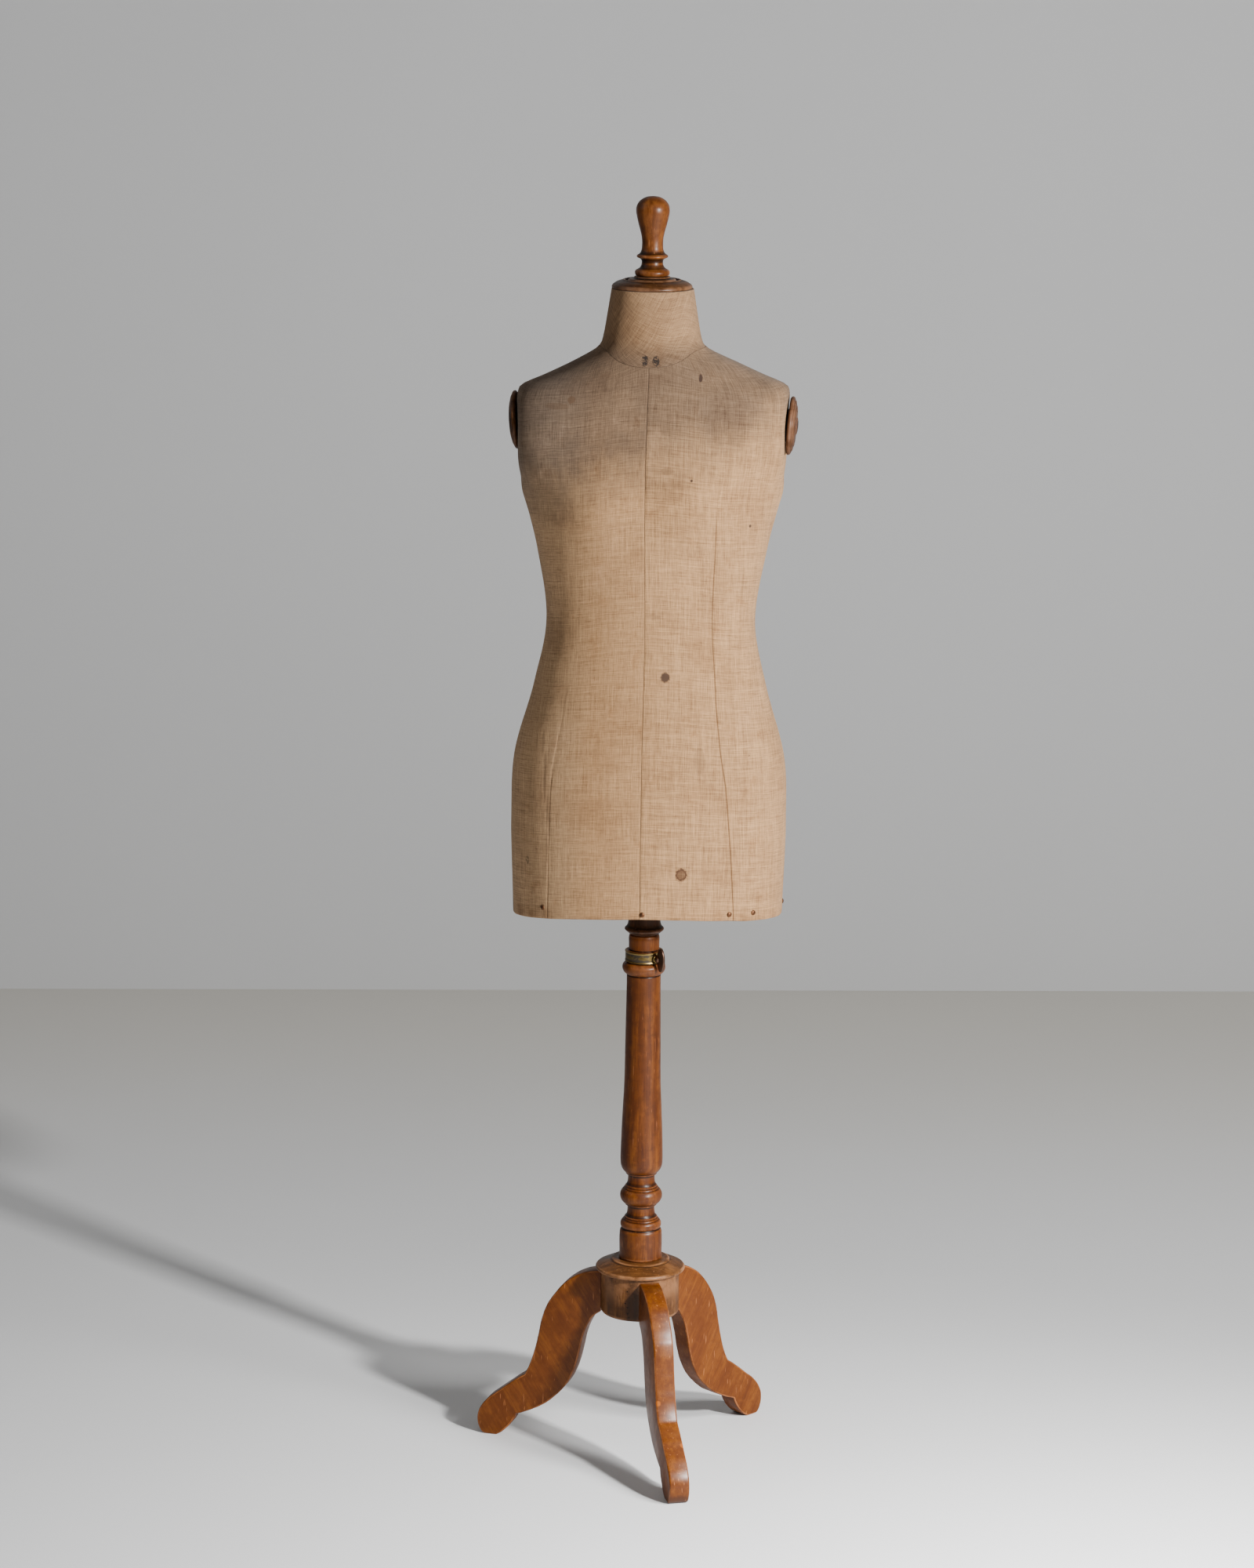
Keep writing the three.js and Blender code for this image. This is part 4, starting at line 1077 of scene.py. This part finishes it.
def make_neck_cap():
    cap_shape = outline([
        [48, 1488.3], [49, 1489], [49.3, 1490.6], [48.5, 1492.4], (46.7, 1494), [43.6, 1495.9],
        [40, 1497.3], (36.8, 1498.1), [35.6, 1499], [34.2, 1499.3], (33.2, 1498.9), (32.6, 1495.9),
        (29.9, 1495.8), [29.3, 1498.4], [28, 1499.7], [26, 1500.2], (24, 1500.3), [22.8, 1500.8],
        [22.2, 1501.7], [21.9, 1502.6], [20.8, 1503],
    ])
    cap_wood = wood("neck_cap_wood", OLIVE_TONES, "X", 9.2, 0.16, 0.7)
    turned("neck_cap", ring_lathe(STUD_R + GAP, cap_shape, 112), "torso", cap_wood, "turned_wood")
    finial_shape = outline([
        [0, 1530], (STUD_R + GAP, 1530), (STUD_R + GAP, 1503.3), (17.2, 1503.3),
        [20.3, 1504.4], [21.4, 1506.9],
        [21, 1509.2], (19.4, 1510.9), (18.6, 1511.3), [15.8, 1513], [13.9, 1515.6], [13.1, 1518.8],
        [13.1, 1521.4], (14.2, 1523.6), [15.9, 1524.6], (18.2, 1525.6), [19.1, 1526.6], [19, 1528],
        (18, 1529), [15.8, 1530.4], (14.1, 1532.8), [13.3, 1535.6], [12.9, 1541.5], [13.2, 1549],
        [14.8, 1557], [17.2, 1565.6], [19.4, 1575], [20.5, 1582.2], [20.1, 1586.8], [18.3, 1591.2],
        [15.5, 1594.6], [11.5, 1597.4], [6.4, 1599.3], [0, 1600],
    ])
    finial_wood = wood("finial_wood", FINIAL_TONES, "Z", 12.6, 0.14, 0.6)
    turned("finial", lathe(finial_shape, 96), "torso", finial_wood, "turned_wood")


def make_bottom_board():
    count = 160
    angles = np.arange(count) * 2 * math.pi / count
    v = np.full(count, float(v_at(725)))
    rim = (surface(angles, v) - normal_at(angles, v) * (INSIDE + 0.4))[:, :2]
    direction = np.stack([np.sin(angles), -np.cos(angles)], axis=1)
    hole = direction * (POLE_R + GAP)
    inward = -rim / np.linalg.norm(rim, axis=1, keepdims=True)
    loops = [(hole, 722), (rim + inward, 722), (rim, 723), (rim, 741), (rim + inward, 742), (hole, 742)]
    points = np.concatenate([np.column_stack([xy, np.full(count, float(z))]) for xy, z in loops])
    faces = []
    for k in range(len(loops)):
        low, high = k * count, ((k + 1) % len(loops)) * count
        faces += [[low + i, low + (i + 1) % count, high + (i + 1) % count, high + i] for i in range(count)]
    made = object_of("bottom_board_sawn", mesh_of("bottom_board", (points, faces, np.zeros(len(points)))))
    material = wood("bottom_board_wood", PLAIN_TONES, "X", 1.9, 0.0, 0.3)
    put(made, "torso", ["bottom_board"], material)


TACK_LOW_Z = 724.5
TACK_RISE = 6                                               # the line of tacks climbs to the middle
TACK_ANGLES = [-47, 1, 40, 54, 95, 137, 180, -137, -95]


def make_tacks():
    rust = metal("tack_rust", ((0.035, 0.018, 0.010), (0.10, 0.045, 0.022)), (0.030, 0.014, 0.008),
                 (0.5, 0.75), 300)
    shape = outline([
        [0, -14], (0.7, -11.5), (0.8, GAP), (2.9, GAP),
        [3.2, 0.5], [3.0, 0.95], [2.2, 1.5], [1.1, 1.85], [0, 2],
    ], step=0.35)
    table = np.linspace(HEM_Z, 760, 400)
    for number, degrees in enumerate(TACK_ANGLES, 1):
        angle = np.full(len(table), math.radians(degrees))
        v = v_at(table)
        level = TACK_LOW_Z + TACK_RISE * math.cos(angle[0]) ** 2
        i = int(np.argmin(np.abs(surface(angle, v)[:, 2] - level)))
        at = surface(angle[i:i + 1], v[i:i + 1])[0]
        outward = normal_at(angle[i:i + 1], v[i:i + 1])[0]
        turn = Vector((outward[0], outward[1], 0)).to_track_quat("Z", "Y").to_matrix().to_4x4()
        place = Matrix.Translation(Vector(at) * MM) @ turn
        tack = object_of(f"tack_{number}", mesh_of("tack", lathe(shape, 24)), place)
        put(tack, "torso", [f"hem_tack_{number}"], rust, 50)


def finish_hidden(brass):
    """Materials for the CAD pieces that stay as they are, inside the form."""
    inner = wood("inner_wood", PLAIN_TONES, "X", 15.0, 0.0, 0.2)
    steel = metal("steel", ((0.30, 0.29, 0.28), (0.55, 0.54, 0.52)), (0.10, 0.07, 0.05), (0.3, 0.6))
    kept = {"clamp_pad": brass, "pole_socket": inner, "neck_block": inner, "arm_block_left": inner,
            "arm_block_right": inner, "finial_stud": steel}
    for name, material in kept.items():
        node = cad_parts[name]
        node.data.materials.clear()
        node.data.materials.append(material)


# ---- floor, light and camera ----
CAMERA_AZIMUTH = 5.0        # degrees from -Y towards +X
CAMERA_PITCH = 12.102       # degrees down
CAMERA_ROLL = 0.644
CAMERA_DISTANCE = 5.6393    # metres from the column's axis, along the floor
CAMERA_SIDE = -0.02373
CAMERA_HEIGHT = 2.0798
LENS = 106.34


def make_camera():
    turn = Matrix.Rotation(math.radians(CAMERA_AZIMUTH), 4, "Z")
    right = turn @ Vector((1, 0, 0))
    ahead = turn @ Vector((0, 1, 0))
    down = math.radians(CAMERA_PITCH)
    view = ahead * math.cos(down) - Vector((0, 0, 1)) * math.sin(down)
    camera = bpy.data.objects.new("camera", bpy.data.cameras.new("camera"))
    bpy.context.scene.collection.objects.link(camera)
    along_floor = right * CAMERA_SIDE - ahead * CAMERA_DISTANCE
    camera.location = AXIS.translation + along_floor + Vector((0, 0, CAMERA_HEIGHT))
    up = right.cross(view)
    square = Matrix((right, up, -view)).transposed().to_4x4()
    roll = Matrix.Rotation(math.radians(CAMERA_ROLL), 4, "Z")
    camera.matrix_world = Matrix.Translation(camera.location) @ square @ roll
    camera.data.sensor_width = camera.data.sensor_height = 36
    camera.data.lens = LENS
    camera.data.clip_end = 60
    bpy.context.scene.camera = camera


def backdrop(name, corners, colour, far_colour_painted_shade, roughness):
    """A big plain sheet; its colour changes a little with the distance behind the form, darker towards the
    back as painted shade for the light's fall-off.
    """
    mesh = bpy.data.meshes.new(name)
    mesh.from_pydata(corners, [], [[0, 1, 2, 3]])
    f = Finish(name)
    soft = f.noise(f.place(), 1.3, 4, 0.55)
    grit = f.noise(f.place(), 160, 3, 0.6)
    behind = f.node("SeparateXYZ", {0: f.place()}).outputs[1]
    # painted shade: darker and warmer towards the back, standing in for the light falling off over the floor
    base = f.mix(f.span(behind, 0.9, 2.3), colour, far_colour_painted_shade)
    tone = f.span(f.math("MULTIPLY_ADD", grit, 0.25, soft), 0.4, 0.9, 0.4, 0)
    shade = f.mix(tone, base, (0.94, 0.94, 0.94), "MULTIPLY")
    mesh.materials.append(f.finish(shade, roughness, f.bump(grit, 0.0004, 0.25)))
    made = bpy.data.objects.new(name, mesh)
    bpy.context.scene.collection.objects.link(made)
    return made


def make_room():
    floor_tone, far_tone_painted_shade = (0.62, 0.62, 0.62), (0.56, 0.538, 0.49)
    wall_tone = (0.40, 0.40, 0.40)
    backdrop("floor", [(-9, -9, 0), (9, -9, 0), (9, 9, 0), (-9, 9, 0)], floor_tone, far_tone_painted_shade, 0.7)
    wall = backdrop("wall", [(-9, 0, -0.1), (9, 0, -0.1), (9, 0, 7), (-9, 0, 7)], wall_tone, wall_tone, 0.9)
    wall.location = (0, 2.35, 0)
    wall.rotation_euler = (0, 0, math.radians(7.05))


def soft_light(name, azimuth, elevation, distance, size, power, aim, spread=180):
    """A square panel light, placed by direction from what it is aimed at."""
    light = bpy.data.lights.new(name, "AREA")
    light.size = size
    light.energy = power
    light.spread = math.radians(spread)
    a, e = math.radians(azimuth), math.radians(elevation)
    away = Vector((math.sin(a) * math.cos(e), -math.cos(a) * math.cos(e), math.sin(e)))
    made = bpy.data.objects.new(name, light)
    bpy.context.scene.collection.objects.link(made)
    made.location = Vector(aim) + away * distance
    made.rotation_euler = away.to_track_quat("Z", "Y").to_euler()


def make_lights():
    soft_light("key", 48, 18, 3.25, 0.22, 292, (0, 0, 0.9))
    soft_light("near_floor", 98, 63, 1.57, 0.5, 38, (0.7, -0.9, 0), 90)
    soft_light("front", 8, 35, 5.0, 3.0, 18, (0, 0, 0.9))
    soft_light("left", -75, 32, 3.0, 2.2, 16, (0, 0, 1.25))
    world = bpy.data.worlds.new("room")
    world.use_nodes = True
    world.node_tree.nodes["Background"].inputs["Color"].default_value = (1, 1, 1, 1)
    world.node_tree.nodes["Background"].inputs["Strength"].default_value = 0.09
    bpy.context.scene.world = world


make_camera()
for number, (leg_name, leg_azimuth) in enumerate(LEGS.items()):
    make_leg(leg_name, leg_azimuth, 2.5 * number)
make_hub()
make_column()
brass_finish = make_clamp()
make_thumb_screw()
make_pole()
make_shells()
make_covers()
make_neck_bands()
make_arm_caps()
make_neck_cap()
make_bottom_board()
make_tacks()
finish_hidden(brass_finish)
make_room()
make_lights()
